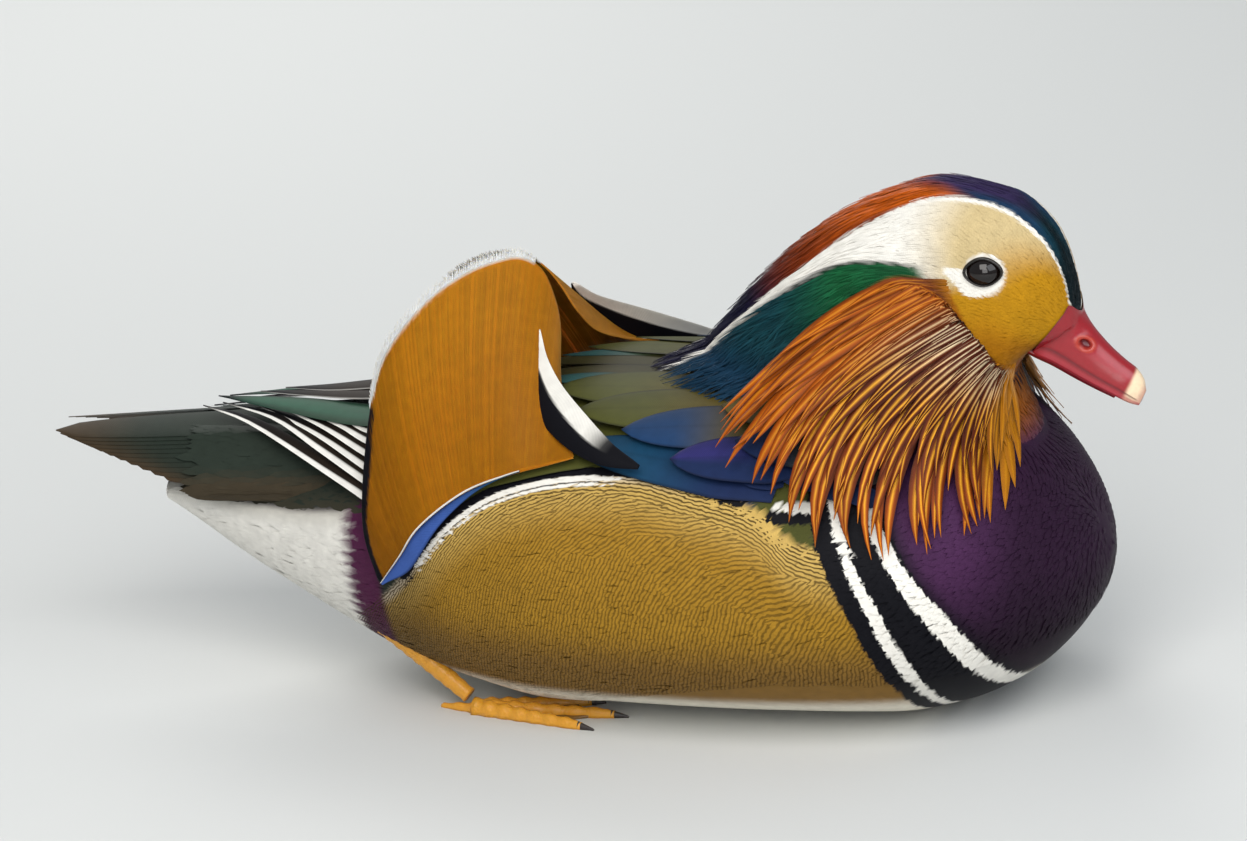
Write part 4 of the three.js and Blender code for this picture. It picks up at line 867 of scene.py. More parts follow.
print("skin:", len(shaped_mesh.vertices), "points")

# %% [markdown]
# The skin's colours and unwrap come from the nearest point of the two lofts. A face that lies across the
# line where they meet takes its whole unwrap from one of them, so that no face is stretched over the map.

# %% Colours and unwrap of the skin
body_u, body_v = np.meshgrid(np.linspace(VENT_X, BREAST_X, 430), np.linspace(-1, 1, 420), indexing="ij")
neck_u, neck_v = np.meshgrid(np.linspace(0, SLICE_LAST, 260), np.linspace(-1, 1, 300), indexing="ij")
body_place, neck_place = torso_point(body_u, body_v, -BODY_COAT), neck_point(neck_u, neck_v, -HEAD_COAT)
sources = {
    "torso": (body_place.reshape(-1, 3), body_tint(body_place).reshape(-1, 3),
              torso_unwrap(body_u, body_v).reshape(-1, 2)),
    "neck": (neck_place.reshape(-1, 3), head_tint(neck_u, neck_v).reshape(-1, 3),
             neck_unwrap(neck_u, neck_v).reshape(-1, 2)),
}
neck_normals = neck.normal(neck_u, neck_v).reshape(-1, 3)
trees = {}
for label, source in sources.items():
    trees[label] = kdtree.KDTree(len(source[0]))
    for index, place in enumerate(source[0].tolist()):
        trees[label].insert(place, index)
    trees[label].balance()

spots = np.empty(len(shaped_mesh.vertices) * 3)
shaped_mesh.vertices.foreach_get("co", spots)
spots = spots.reshape(-1, 3) / MM
nearest = {label: [tree.find(spot) for spot in spots.tolist()] for label, tree in trees.items()}
index_of = {label: np.array([found[1] for found in nearest[label]]) for label in nearest}
distance = {label: np.array([found[2] for found in nearest[label]]) for label in nearest}
on_torso = distance["torso"] <= distance["neck"]


def from_lofts(part, points, chosen):
    """Colours or places on the unwrap for points of the skin, from the torso's loft where that is chosen."""
    torso_part, neck_part = (sources[label][part][index_of[label][points]] for label in ("torso", "neck"))
    return np.where(chosen[:, None], torso_part, neck_part)


set_tint(shaped_mesh, from_lofts(1, slice(None), on_torso))
corner_of = np.empty(len(shaped_mesh.loops), np.int32)
shaped_mesh.loops.foreach_get("vertex_index", corner_of)
totals = np.empty(len(shaped_mesh.polygons), np.int32)
shaped_mesh.polygons.foreach_get("loop_total", totals)
face_of = np.repeat(np.arange(len(totals)), totals)
votes = np.bincount(face_of, on_torso[corner_of]) / totals
uv = from_lofts(2, corner_of, (votes >= 0.5)[face_of])
for label in ("OFBake", "Vane"):
    layer = shaped_mesh.uv_layers.new(name=label)
    layer.data.foreach_set("uv", uv.astype(np.float32).ravel())
shaped_mesh.materials.clear()
shaped_mesh.materials.append(DOWN)
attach(skin, BODY)
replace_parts(skin, "torso", "neck", "head")
print("skin: share on the torso", round(float(on_torso.mean()), 2))

# %% [markdown]
# Feathers that would start inside the neck, or deep inside the torso, are left out. Long plumes are rooted
# in the skin too, so their place on the unwrap is that of the nearest skin.

# %% Places against the skin
def inside_neck(places, margin=0.6):
    """True where a place lies inside the neck, or nearer to it than the margin in mm."""
    result = []
    for place in places.reshape(-1, 3):
        spot, index, apart = trees["neck"].find(place)
        result.append(float(np.dot(place - sources["neck"][0][index], neck_normals[index])) < margin)
    return np.array(result).reshape(places.shape[:-1])


def inside_torso(places, margin=0.0):
    """True where a place lies inside the torso, or nearer to it than about the margin in mm."""
    x, y, z = places[..., 0], places[..., 1], places[..., 2]
    middle = side_line(x)
    tall = torso_half(x, z >= middle)[0] + margin
    full = (np.abs(y) / (beam(x) + margin))**2.2 + (np.abs(z - middle) / tall)**2.2
    return (full < 1) & (x > VENT_X) & (x < BREAST_X)


def skin_roots(places):
    """The places on the unwrap where plumes rooted near these places belong."""
    spots = []
    for place in places.reshape(-1, 3):
        found = {label: tree.find(place) for label, tree in trees.items()}
        label = min(found, key=lambda which: found[which][2])
        spots.append(sources[label][2][found[label][1]])
    return np.array(spots)


print("throat inside the torso:", bool(inside_torso(np.array([100.0, 0, 80]))))

# %% [markdown]
# ## Coats of short feathers
#
# A coat lays many small feathers over a surface. Each starts a little inside the skin, runs along the flow
# of the plumage and ends just clear of the next ones, so that tips cover roots like roof tiles.

# %% A coat of feathers
def coat(name, surface, roots, flow, length, half, heights, outline, material, slot, colour, seed,
         rows=5, across=3, thick=0.16, cup=0.05, stray=0.07, uneven=0.3, clear=None, marks=None, vary=0.16):
    """Feathers over a surface. length and half are in mm, one value or one for each root."""
    random = np.random.default_rng(seed)
    u, v = roots
    place, normal = surface.point(u, v), surface.normal(u, v)
    direction = unit(flow(place, normal))
    direction = direction + stray * random.normal(size=len(u))[:, None] * np.cross(normal, direction)
    size = 1 + uneven * (random.random(len(u)) - 0.5)
    du, dv = surface.heading(u, v, direction)
    path, out, uu, vv = laid(surface, u, v, du, dv, length * size, heights, rows)
    shade = 1 + vary * (random.random(len(u)) - 0.5)
    half = np.broadcast_to(half, len(u)) * size
    good = np.ones(len(u), bool) if clear is None else clear(path)
    path, out, uu, vv, shade, half = (values[good] for values in (path, out, uu, vv, shade, half))
    widths = half[:, None] * outline(np.linspace(0, 1, rows))[None]

    def tint(top, share, wide):
        return colour(top, wider(uu, wide), wider(vv, wide)) * shade[:, None, None, None]

    extra = None if marks is None else (lambda top: marks(top, u[good], v[good]))
    return vanes(name, path, out, np.maximum(widths, 0.04), thick, material, slot, tint, cup, across,
                 roots=surface.unwrap(u, v)[good], marks=extra)


FLOW_CENTRE = np.array([62.0, 0.0, 100.0])  # body feathers fan out from the middle of the shoulders


def body_flow(place, normal):
    away = place - FLOW_CENTRE
    far = np.linalg.norm(away, axis=-1, keepdims=True)
    backwards = (0.3 + 3.0 * soft(40, 110, far)) * np.array([-1.0, 0, 0])
    return away / np.maximum(far, 1e-6) + backwards


def steady(*way):
    """A flow in the same direction everywhere."""
    return lambda place, normal: np.array(way) + 0 * place


def body_colour(top, uu, vv):
    return body_tint(top, marked=False)


def body_marks(top, u, v):
    """The distances into the white and black marks, for the finish."""
    white, black = mark_distances(top)
    return {"inside_white": np.maximum(white, 0), "inside_black": np.maximum(black, 0)}


def from_flank_edge(u, v):
    return ridge_distance(u, v) - flank_edge(u)


COAT_RISE = (-0.75, -0.18, 0.02)  # heights of a body feather's root, middle and tip over the outline
OFF_FLOOR = 1.0  # feathers keep this far above the floor, in mm
above_floor = lambda path: path[..., 2].min(1) > OFF_FLOOR

# %% Breast
roots = scatter(torso, (52, BREAST_X - 0.3), (-1, 1), 1.4, 11,
                lambda u, v, p: (u > FIRST_BAR(p[:, 2]) - 3.0) & (p[:, 2] > 1.5) & ~inside_neck(p))
coat("breast_feathers", torso, roots, body_flow, 6.0, 0.95, COAT_RISE, round_tip, DOWN,
     "body_plumage", body_colour, 12, thick=0.06, stray=0.04, vary=0.08, clear=above_floor, marks=body_marks)

# %% [markdown]
# ## The flank's fine waves
#
# Flank feathers carry thin dark wavy lines, about 1.2 mm apart. Along the upper edge they run with the
# edge, and lower down they turn until they stand nearly upright. The lines of one large feather don't quite
# meet those of the next. So the flank is shared among centres a feather's width apart, and each has one
# direction and start for its lines.

# %% Flank
WAVE_CELL = 15.0  # how far apart the large feathers are
random_wave = np.random.default_rng(17)
cells = scatter(torso, (-92, 84), (0.1, 0.8), WAVE_CELL, 18, lambda u, v, p: from_flank_edge(u, v) > 4)
cell_x, cell_low = cells[0], from_flank_edge(*cells)
cell_phase = 1.4 * random_wave.random(len(cell_x))
wave_turn = through([(0, 6), (8, 14), (18, 38), (30, 58), (45, 74)])  # degrees from along the edge, by depth


def wave_marks(top, u, v):
    """The strength and phase of the waves for the points of flank feathers rooted at u and v."""
    x = top[..., 0]
    low = from_flank_edge(x, torso_turn(top))
    root_low = from_flank_edge(u, v)
    apart = (u[:, None] - cell_x)**2 * 0.5 + (root_low[:, None] - cell_low)**2
    cell = apart.argmin(1)
    turned = np.radians(wave_turn(cell_low[cell]) + 10 * soft(20, 70, cell_x[cell]))
    spread = (slice(None),) + (None,) * (x.ndim - 1)
    inner = (np.sin(turned)[spread] * (x - cell_x[cell][spread])
             + np.cos(turned)[spread] * (low - cell_low[cell][spread]) + cell_phase[cell][spread])
    edge = (root_low < 7.5)[spread]
    phase = np.where(edge, low * 0.95 + 0.35, inner)
    shown = soft(-0.4, 0.4, low) * soft(12, 18, top[..., 2])
    strength = (0.88 - 0.35 * soft(4, 16, low)) * shown
    return {"waves": strength, "phase": phase, **body_marks(top, u, v)}


for name, side in SIDES.items():
    roots = scatter(torso, (-92, 84), (0, side * 0.93), 1.3, 13 + side,
                    lambda u, v, p: (u < FIRST_BAR(p[:, 2]) - 1.0) & (from_flank_edge(u, v) > -3)
                    & (p[:, 2] > 8) & ~inside_neck(p))
    coat("flank_feathers_" + name, torso, roots, body_flow, 6.5, 0.9, COAT_RISE, round_tip, FLANK,
         "body_plumage", body_colour, 14 + side, thick=0.05, stray=0.03, clear=above_floor, marks=wave_marks,
         vary=0.06)

# %% [markdown]
# ## Back, rear and belly
#
# These feathers are longer and looser. The ones under the tail are long and soft, and lie smoothly.

# %% Rear and belly
roots = scatter(torso, (VENT_X + 2, 84), (-1, 1), 1.9, 15,
                lambda u, v, p: (((p[:, 2] <= 8.5) & (u < FIRST_BAR(p[:, 2]))) | (from_flank_edge(u, v) <= -3)
                                 | (u < -92)) & ~inside_neck(p) & (p[:, 2] > 0.8)
                & ((u < -60) | (p[:, 2] < 9) | (from_flank_edge(u, v) > -12)))
coat("rear_feathers", torso, roots, body_flow, 10.0, 1.3, (-0.6, -0.12, 0.0), round_tip, DOWN,
     "body_plumage", body_colour, 16, thick=0.05, stray=0.03, vary=0.04, clear=above_floor, marks=body_marks)

# %% [markdown]
# ## The face
#
# Face feathers are like velvet: about three mm long and very narrow. They fan out from the base of the
# bill. None lies over the eyelid or the bill.

# %% Face velvet
BILL_ROOT = np.array([127.0, 0.0, 117.0])
bill_line = through([
    (104, 117.2), (110, 118.3), (115.3, 119.1), (119.4, 122.6), (122.1, 124.8), (125.7, 127.6),
    (128.5, 130.0), (132, 132.5)])
EYE_CENTRES = [neck.point(np.array(EYE_SLICE), np.array(side * EYE_OFF)) for side in SIDES.values()]
EYE_CLEAR = 5.9


def from_eye(places):
    """Distance to the nearer eye, in mm."""
    return np.min([np.linalg.norm(places - centre, axis=-1) for centre in EYE_CENTRES], axis=0)


def face_flow(place, normal):
    return unit(place - BILL_ROOT) + np.array([-0.35, 0, 0])


def head_colour(top, uu, vv):
    return head_tint(uu, vv)


def off_bill(places):
    return places[..., 0] < bill_line(places[..., 2]) + 0.2


def on_face(u, v, p):
    off = np.abs(v)
    return (off > crown_edge(u) - 0.012) & (from_eye(p) > EYE_CLEAR) & off_bill(p) & ~inside_torso(p, 1.0)


roots = scatter(neck, (0.0, 4.9), (-1, 1), 0.78, 21, on_face)
coat("face_feathers", neck, roots, face_flow, 3.4, 0.5, (-0.32, -0.08, 0.0), round_tip, DOWN,
     "face_plumage", head_colour, 22, rows=4, thick=0.03, vary=0.04, stray=0.03,
     clear=lambda path: from_eye(path[:, -1]) > EYE_CLEAR - 0.2)

# The throat below the chin, seen between the two halves of the ruff.
def throat_colour(top, uu, vv):
    return paint(uu.shape, "cheek_brown", ("breast", soft(96, 80, top[..., 2])))


roots = scatter(neck, (0.6, 9), (-1, 1), 1.4, 23,
                lambda u, v, p: (np.abs(v) > 0.66) & (u > 0.6) & (p[:, 2] < 112) & ~inside_torso(p, 0.6))
coat("throat_feathers", neck, roots, steady(0.12, 0, -1.0), 6.5, 0.75, (-0.6, -0.1, 0.35), round_tip, DOWN,
     "neck_plumage", throat_colour, 24, rows=5)

# %% [markdown]
# ## Crown, brow and neck plumes
#
# The crest is a mane: each plume is long, narrow and silky, and combed back over the neck. The white brow
# plumes lie beside it, and glossy green ones below them. Plumes that start farther back are longer and
# stand higher, so the mane is thickest over the nape.

# %% Mane of plumes
NECK_END = 7.8


def plumes(name, count, at_range, off_range, length, half, heights, material, slot, seed, rows=8, vary=0.4,
           thick=0.14, fall=0.0, back=1.0):
    """Long plumes from random roots. off_range gives the lowest and highest off for a slice, on both sides.
    fall is how much lower the plumes stand at the high end of that range, and back how much they turn
    straight backwards past the end of the neck."""
    random = np.random.default_rng(seed)
    at = at_range[0] + (at_range[1] - at_range[0]) * random.random(count)
    low, high = off_range(at)
    lane = random.random(count)
    off = (low + (high - low) * lane) * np.where(random.random(count) < 0.5, -1, 1)
    mm = length(at) * (0.7 + 0.6 * random.random(count))
    along = neck.slopes(at, off)[0]
    du = 1 / np.linalg.norm(along, axis=-1)
    t = np.linspace(0, 1, rows)
    uu = at[:, None] + (du * mm)[:, None] * t
    low_end, high_end = off_range(np.minimum(uu, at_range[2]))
    goal = low_end + (high_end - low_end) * (lane[:, None] + 0.1 * random.normal(size=count)[:, None] * t)
    vv = np.sign(off)[:, None] * goal
    stand = (heights(at) * (1 - fall * lane**2))[:, None] * (0.35 + 0.65 * random.random(count)[:, None])
    height = -0.5 + (stand + 0.5) * through([(0, 0), (0.5, 0.75), (1, 1)])(t)
    # Past the end of the neck the plumes run on over the back.
    beyond = np.maximum(uu - NECK_END, 0) / du[:, None]
    uu = np.minimum(uu, NECK_END)
    path, out = neck.lift(uu, vv, height), neck.normal(uu, vv)
    onwards = unit(neck.slopes(uu, vv)[0])
    path = path + beyond[..., None] * unit(onwards + back * 1.4 * (np.array([-0.97, 0, -0.2]) - onwards) / 2)
    shade = 1 + vary * (random.random(count) - 0.5)
    widths = half * (0.75 + 0.5 * random.random(count))[:, None] * hair_tip(t)[None]

    def tint(top, share, wide):
        colours = head_tint(uu, vv)[:, :, None] * shade[:, None, None, None]
        return np.broadcast_to(colours, top.shape)

    return vanes(name, path, out, np.maximum(widths, 0.05), thick, material, slot, tint, 0.12, 3,
                 roots=neck.unwrap(at, off))


crown_span = lambda at: (0 * at, np.maximum(crown_edge(at) - 0.006, 0.015))
crown_length = through([(0, 3), (1, 6), (2, 11), (3.5, 17), (6, 22), (7.8, 20)])
crown_height = through([(0, 0.1), (1.4, 0.15), (2.5, 0.7), (4, 2.6), (6.5, 3.6), (8, 2.4)])
crest = plumes("crest_mane", 2600, (0.15, 7.8, 7.8), crown_span, crown_length, 0.46, crown_height, SILK,
               "crest_plumes", 31, fall=0.7)
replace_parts(crest, "crest")

brow_span = lambda at: (crown_edge(at) + 0.004, np.maximum(brow_edge(at), crown_edge(at) + 0.01))
green_span = lambda at: (brow_edge(at) + 0.01, ruff_edge(at) + 0.05)
brow_length = through([(3, 6), (4, 10), (6, 16), (7.8, 18)])
brow_height = through([(3.2, 0.06), (4.5, 0.3), (5.5, 1.2), (6.5, 2.2), (7.5, 2.6)])
green_height = through([(4, 0.3), (5, 1.2), (6, 2.2), (7.5, 2.4), (8.8, 3.4)])
green = plumes("neck_plumes", 2700, (4.6, 7.8, 7.8), green_span, brow_length, 0.5, green_height, SILK,
               "neck_plumage", 32, vary=0.6)
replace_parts(green, "plumes_right", "plumes_left")
plumes("brow_plumes", 1500, (3.7, 7.6, 7.8), brow_span, brow_length, 0.5, brow_height, SILK,
       "face_plumage", 33, vary=0.05, thick=0.06, back=0.3)

# %% [markdown]
# ## The ruff
#
# The ruff is a fan of hackles, rooted in a line from behind the eye round the cheek to the chin. Each is
# narrow and pointed: dark maroon or rust, with a bright streak along its shaft that is cream near the cheek
# and golden farther out. The fan is a surface through four lines: the cheek, the roots, the middles and the
# tips.

# %% Ruff surface
# The cheek's points by slice and off, the others by x, y and z.
CHEEK_LINE = [(4.34, 0.425), (4.44, 0.5), (4.44, 0.58), (4.2, 0.68), (3.5, 0.77), (2.1, 0.85)]
RUFF_ROOTS = [
    (80, 22.5, 140), (91, 22, 135), (99, 21, 126), (104, 19, 117.5), (107, 15, 110.5), (110, 9, 104)]
RUFF_MIDDLES = [
    (54, 28, 124.5), (57, 38, 113), (68, 44, 103.5), (82, 45, 97.5), (98, 40, 92.5), (112.5, 18, 89.5)]
RUFF_TIPS = [
    (28, 43, 100.5), (36, 56.5, 93.5), (48, 65, 84.5), (62, 66.5, 76.5), (76, 63.5, 71.5), (91, 60, 68.5),
    (105.3, 49, 68.7), (117.5, 32, 73.5)]
FIRST_WAY = -0.25  # the way of the cheek line, where the roots are at 0 and the tips at 1
cheek_at, cheek_off = np.array(CHEEK_LINE).T
cheek_line = bend(neck.lift(cheek_at, cheek_off, 0.3))
ruff_lines = [bend(points) for points in (RUFF_ROOTS, RUFF_MIDDLES, RUFF_TIPS)]


def ruff_surface(side):
    def point(share, way):
        share, way = np.broadcast_arrays(np.asarray(share, float), np.asarray(way, float))
        root, middle, tip = (line(share) for line in ruff_lines)
        t = np.maximum(way, 0)[..., None]
        place = root * (1 - t) * (1 - 2 * t) + middle * 4 * t * (1 - t) + tip * t * (2 * t - 1)
        place = place + (cheek_line(share) - root) * (np.maximum(-way, 0) / -FIRST_WAY)[..., None]
        return place * np.array([1, side, 1])

    return Surface(point, (0.02, 0.02), side, None)


# %% Hackles
HACKLE_COLUMNS = (-1, -0.45, -0.2, 0, 0.2, 0.45, 1)
HACKLE_TUFTS = 26  # the tips gather in about so many tufts
# Of each tier of hackles the way where they start and end, how many they are, their half width, how high they
# stand, and the share where the tier begins.
HACKLE_TIERS = [
    (0.30, 1.10, 24, 2.5, 1.4, 0),
    (0.15, 1.02, 24, 2.5, 1.9, 0),
    (0.05, 0.88, 25, 2.4, 2.4, 0),
    (-0.05, 0.76, 26, 2.2, 2.9, 0),
    (-0.12, 0.64, 28, 1.9, 3.1, 0),
    (-0.18, 0.5, 30, 1.6, 3.0, 0),
    (-0.25, 0.6, 50, 1.6, 1.6, 0.87),
    (-0.22, 0.36, 40, 1.15, 2.4, 0),
    (-0.26, 0.22, 44, 0.95, 1.9, 0),
    (-0.29, 0.1, 48, 0.8, 1.3, 0),
    (-0.31, 0.0, 54, 0.7, 0.8, 0),
    (-0.33, -0.1, 60, 0.55, 0.45, 0),
]


def hackle_tint(share, way, wide):
    """Hackle colour by the place in the fan and across the hackle."""
    top = 1 - soft(0.18, 0.42, share)
    rusty = np.maximum(0.75 * top * soft(-0.2, 0.05, way), 0.7 * soft(0.7, 1.0, way))
    web = paint(share.shape, "hackle_dark", ("hackle", 0.3 + 0.6 * soft(0.3, 0.9, way)),
                ("hackle_orange", rusty))
    web = web * (1 - 0.6 * soft(0.35, 0.95, np.abs(wide)))[..., None]
    web = over(web, ("ochre", 1 - soft(-0.26, -0.06, way + 0.08 * top)))
    streak = paint(share.shape, "streak_cream", ("streak_gold", np.maximum(soft(0.0, 0.35, way), top)),
                   ("hackle_orange", 0.3 * top + 0.45 * soft(0.8, 1, way)))
    core = 1 - soft(0.08, 0.3, np.abs(wide))
    tint = blend(web, streak, core * soft(-0.22, -0.06, way) * (1 - 0.45 * top))
    return over(tint, ("ochre", 0.8 * soft(0.88, 0.95, share) * soft(-0.25, -0.05, way)))


def hackles(name, side, seed, rows=10):
    random = np.random.default_rng(seed)
    surface = ruff_surface(side)
    tiers = []
    for starting, ending, count, half, stand, first in HACKLE_TIERS:
        place_draw, start_draw, end_draw, half_draw, stand_draw = random.random((5, count))
        place = (np.arange(count) + 0.5 + 0.6 * (place_draw - 0.5)) / count * 1.06 - 0.06
        tiers.append([np.clip(first + (1 - first) * place, -0.06, 0.996),
                      np.maximum(starting + 0.09 * (start_draw - 0.3), -0.35),
                      ending - 0.2 * end_draw * (ending - starting),
                      half * (0.8 + 0.4 * half_draw), stand * (0.6 + 0.5 * stand_draw)])
    share, start, end, half, stand = np.concatenate(tiers, axis=1)
    t = np.linspace(0, 1, rows)
    way = start[:, None] + (end - start)[:, None] * t
    sway = 0.024 * random.normal(size=len(share))
    gathered = (np.round(share * HACKLE_TUFTS + random.normal(size=len(share)) * 0.5)) / HACKLE_TUFTS - share
    lane = np.clip(share[:, None] + (sway + 0.4 * gathered)[:, None] * t**2, -0.06, 0.998)
    height = -0.5 + (stand[:, None] + 0.5) * (1 - (1 - t)**1.7) * soft(-0.42, -0.2, way)
    curled = 2.4 * (1 - soft(0.1, 0.5, share)) * random.random(len(share))
    curl = curled[:, None] * soft(0.75, 1.0, way)
    path, out = surface.lift(lane, way, height + curl), surface.normal(lane, way)
    shade = 0.8 + 0.35 * random.random(len(share))
    outline = (0.6 + 0.7 * t) * (1 - t**2.4) * (0.4 + 0.6 * soft(0, 0.2, t))
    widths = np.maximum(half[:, None] * outline, 0.05)

    def tint(top, along, wide):
        return hackle_tint(wider(lane, wide), wider(way, wide), wide) * shade[:, None, None, None]

    return vanes(name, path, out, widths, 0.22, HACKLE, "ruff_hackles", tint, 0.12, HACKLE_COLUMNS,
                 roots=skin_roots(surface.point(share, start)))


HACKLE = plumage("hackles", barb=0.45, contrast=0.05, rough=0.42, sheen=0.04, lean=0.25, bump=0.12)
for name, side in SIDES.items():
    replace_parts(hackles("hackles_" + name, side, 40 + side), "ruff_" + name)

# %% [markdown]
# ## Folded wings
#
# Scapulars and coverts cover the back and the side between neck and sail. Each is a single broad vane with
# many rows, so that it follows the body. The upper ones are olive, and the lower ones blue with a thin dark
# edge.

# %% Wing feathers
WING_ROWS = 16
# The root and the tip of each feather by x and mm from the ridge, its half width, the heights of its root,
# middle and tip, and its colours at the tip and the root.
WING_FEATHERS = [
    ((48, 58.5), (-21, 45), 9.5, (0.7, 1.1, 1.4), "wing_teal", "wing_deep"),
    ((-2, 48), (-53, 56), 3.8, (0.7, 0.9, 1.2), "olive", "olive"),
    ((16, 8), (-45, 6), 7.5, (0.9, 1.3, 1.7), "olive_dark", "olive_dark"),
    ((6, 14), (-38, 10.5), 5, (1.1, 1.7, 2.0), "wing_sheen", "olive"),
    ((32, 19), (-32, 18), 12, (1.2, 2.0, 2.4), "olive", "olive_brown"),
    ((36, 29), (-21, 32), 11, (1.5, 2.6, 3.1), "olive", "olive_brown"),
    ((46, 37), (-4, 41.5), 10, (1.8, 3.0, 3.6), "wing_blue", "olive_brown"),
    ((55, 50), (14, 53), 9, (2.0, 3.4, 4.0), "wing_violet", "wing_deep"),
    ((62, 15), (20, 16), 12, (1.4, 3.0, 3.6), "olive_brown", "olive"),
    ((64, 30), (25, 31), 10, (1.8, 3.4, 4.2), "olive_brown", "olive"),
    ((70, 45), (33, 46), 9, (2.2, 3.8, 4.6), "wing_deep", "olive"),
]
leaf_tip = lambda t: np.minimum(1, 0.6 + 1.6 * t) * np.maximum(1 - t**4.2, 0)**0.8
for name, side in SIDES.items():
    t = np.linspace(0, 1, WING_ROWS)
    paths, outs, halves = [], [], []
    for root, tip, half, (low, middle, high), *tones in WING_FEATHERS:
        x, far = (first + (last - first) * t for first, last in zip(root, tip))
        height = through([(0, low - 0.4), (0.5, middle), (1, high)])(t)
        paths.append(over_back.lift(x, side * far, height))
        outs.append(over_back.normal(x, side * far))
        halves.append(np.maximum(half * leaf_tip(t), 0.2))

    def wing_tint(top, share, wide):
        tint = np.zeros((*share.shape, 3))
        for i, (*form, tip_tone, root_tone) in enumerate(WING_FEATHERS):
            lower, off = wide[i] * side, np.abs(wide[i])
            web = paint(share[i].shape, tip_tone, (root_tone, 1 - soft(0.2, 0.7, share[i])))
            if tip_tone == "wing_violet":
                web = over(web, ("wing_deep", 1 - soft(-0.4, 0.2, lower)))
            # Each feather is painted darker towards its lower edge and a little lighter towards its upper
            # one, as painted shade and light.
            web = web * (1 - 0.22 * soft(0.0, 1.0, lower) + 0.1 * soft(0.0, 0.8, -lower))[..., None]
            rim = soft(0.88, 0.97, np.maximum(off, soft(0.93, 1, share[i])))
            tint[i] = over(web, ("black", 0.6 * rim), ("black", 0.12 * (1 - soft(0.0, 0.04, off))))
        return tint

    made = vanes("coverts_" + name, paths, outs, halves, 0.35, SMOOTH, "wing_coverts", wing_tint, 0.05, 17)
    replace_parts(made, "wing_" + name)

# Small feathers cover the shoulder in front of them, mostly under the ruff.
def shoulder_colour(top, uu, vv):
    far = np.abs(vv)
    return paint(uu.shape, "olive_brown", ("olive", 0.5 * (1 - soft(10, 25, far))),
                 ("wing_deep", soft(0, 10, far - 46)))


roots = scatter(over_back, (48, 82), (-58, 58), 4.0, 51,
                lambda u, v, p: (np.abs(v) < flank_edge(u) - 10) & ~inside_neck(p, 0.2))
coat("shoulder_feathers", over_back, roots, steady(-1.0, 0, 0.1), 13.0, 3.6, (0.3, 1.6, 2.0), round_tip,
     SMOOTH, "wing_coverts", shoulder_colour, 52, rows=8, across=7, thick=0.15)

# %% [markdown]
# ## The sickle plume
#
# One long curved plume lies between the coverts and the sail. Its inner web is black and its outer web
# white.

# %% Sickle plumes
SICKLE = [
    (5, 56.5, 90), (-7, 53, 93), (-18.5, 46, 98), (-28.5, 37.5, 104.5), (-34.2, 28.5, 112), (-36, 19.5, 121)]
SICKLE_HALF = 6.0
for name, side in SIDES.items():
    t = np.linspace(0, 1, 24)
    mirror = np.array([1, side, 1])
    path = bend(SICKLE)(t) * mirror
    upwards = 1.0 if side == RIGHT else 0.4
    out = np.stack([-0.3 * t, side + 0 * t, upwards * (1.1 - 0.7 * t)], -1)
    half = SICKLE_HALF * np.maximum(0.06, np.sin(np.pi * np.clip(0.03 + 0.94 * t, 0, 1)))**0.85

    def sickle_tint(top, share, wide):
        upper = wide * side
        border = 0.05 - 0.35 * soft(0.75, 1, share) - 0.1 * np.sin(7 * share)
        lit = soft(0.2, 0.34, share + 0.2 * (side == LEFT))
        return paint(share.shape, "black", ("white", soft(0.0, 0.1, upper - border) * lit))

    made = vanes("sickle_plume_" + name, [path], [out], [half], 0.8, SMOOTH, "sickle_plume", sickle_tint,
                 0.12, 25)
    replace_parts(made, "sickle_" + name)

# %% [markdown]
# ## The sails
#
# The innermost flight feather on each side carries one huge web, which the drake holds upright. A thin
# sheet carries its form. Single barbs lie on both faces of it and run from the shaft up to the rim, where
# their ends make a white fringe.

# %% Sail sheet
SAIL_SHAFT = [
    (-82.3, 52, 47.2), (-74.4, 55, 57.4), (-66.2, 57, 68.4), (-51.8, 55.5, 79.2), (-37.3, 55, 85.2),
    (-26.3, 53.5, 88.1), (-17, 52, 90.5)]
SAIL_RIM = [
    (-83.3, 51.5, 48.5), (-87, 50, 62), (-87.3, 47.5, 76), (-87.6, 39.5, 91), (-86.5, 32.5, 105),
    (-84, 27.5, 114.6), (-78, 23, 123.5), (-69.4, 17, 131.8), (-59.6, 12, 137.6), (-51, 8, 140.3),
    (-43.6, 5, 140.6), (-37.8, 4.2, 135.5), (-34, 6.5, 127), (-31.6, 10, 117.7), (-29.5, 20, 106.5),
    (-25, 34, 97.5)]
LEFT_DROP, LEFT_BACK = 5.0, 2.5  # how much lower and farther back the left sail's top stands
TRIM = 2.6  # the web ends this much inside the rim's line, which the fringe reaches
sail_shaft, sail_rim = bend(SAIL_SHAFT), bend(SAIL_RIM)


def sail_surface(side):
    def point(along, up):
        along, up = np.broadcast_arrays(np.asarray(along, float), np.asarray(up, float))
        low, high = sail_shaft(along), sail_rim(along)
        high = high - unit(high - low) * (TRIM * band(0.2, 0.75, 0.1, along))[..., None]
        place = low + (high - low) * up[..., None]
        lean = np.sin(np.pi * np.clip(along, 0, 1))
        place[..., 1] += 4 * np.sin(np.pi * up) * lean
        if side == LEFT:
            place = place - np.stack([LEFT_BACK * up * lean, 0 * up, LEFT_DROP * up * lean], -1)
        return place * np.array([1, side, 1])

    return Surface(point, (0.004, 0.01), -side, None)


def from_rim(places, side, first, last):
    """Distance in mm from the stretch of the sail's rim between two shares of its length."""
    rim = sail_surface(side).point(np.linspace(first, last, 70), 1.0)
    return np.min([np.linalg.norm(places - spot, axis=-1) for spot in rim], axis=0)


STRIP, FRINGE = 2.5, 1.3  # the black strip and the white fringe along the rim, in mm


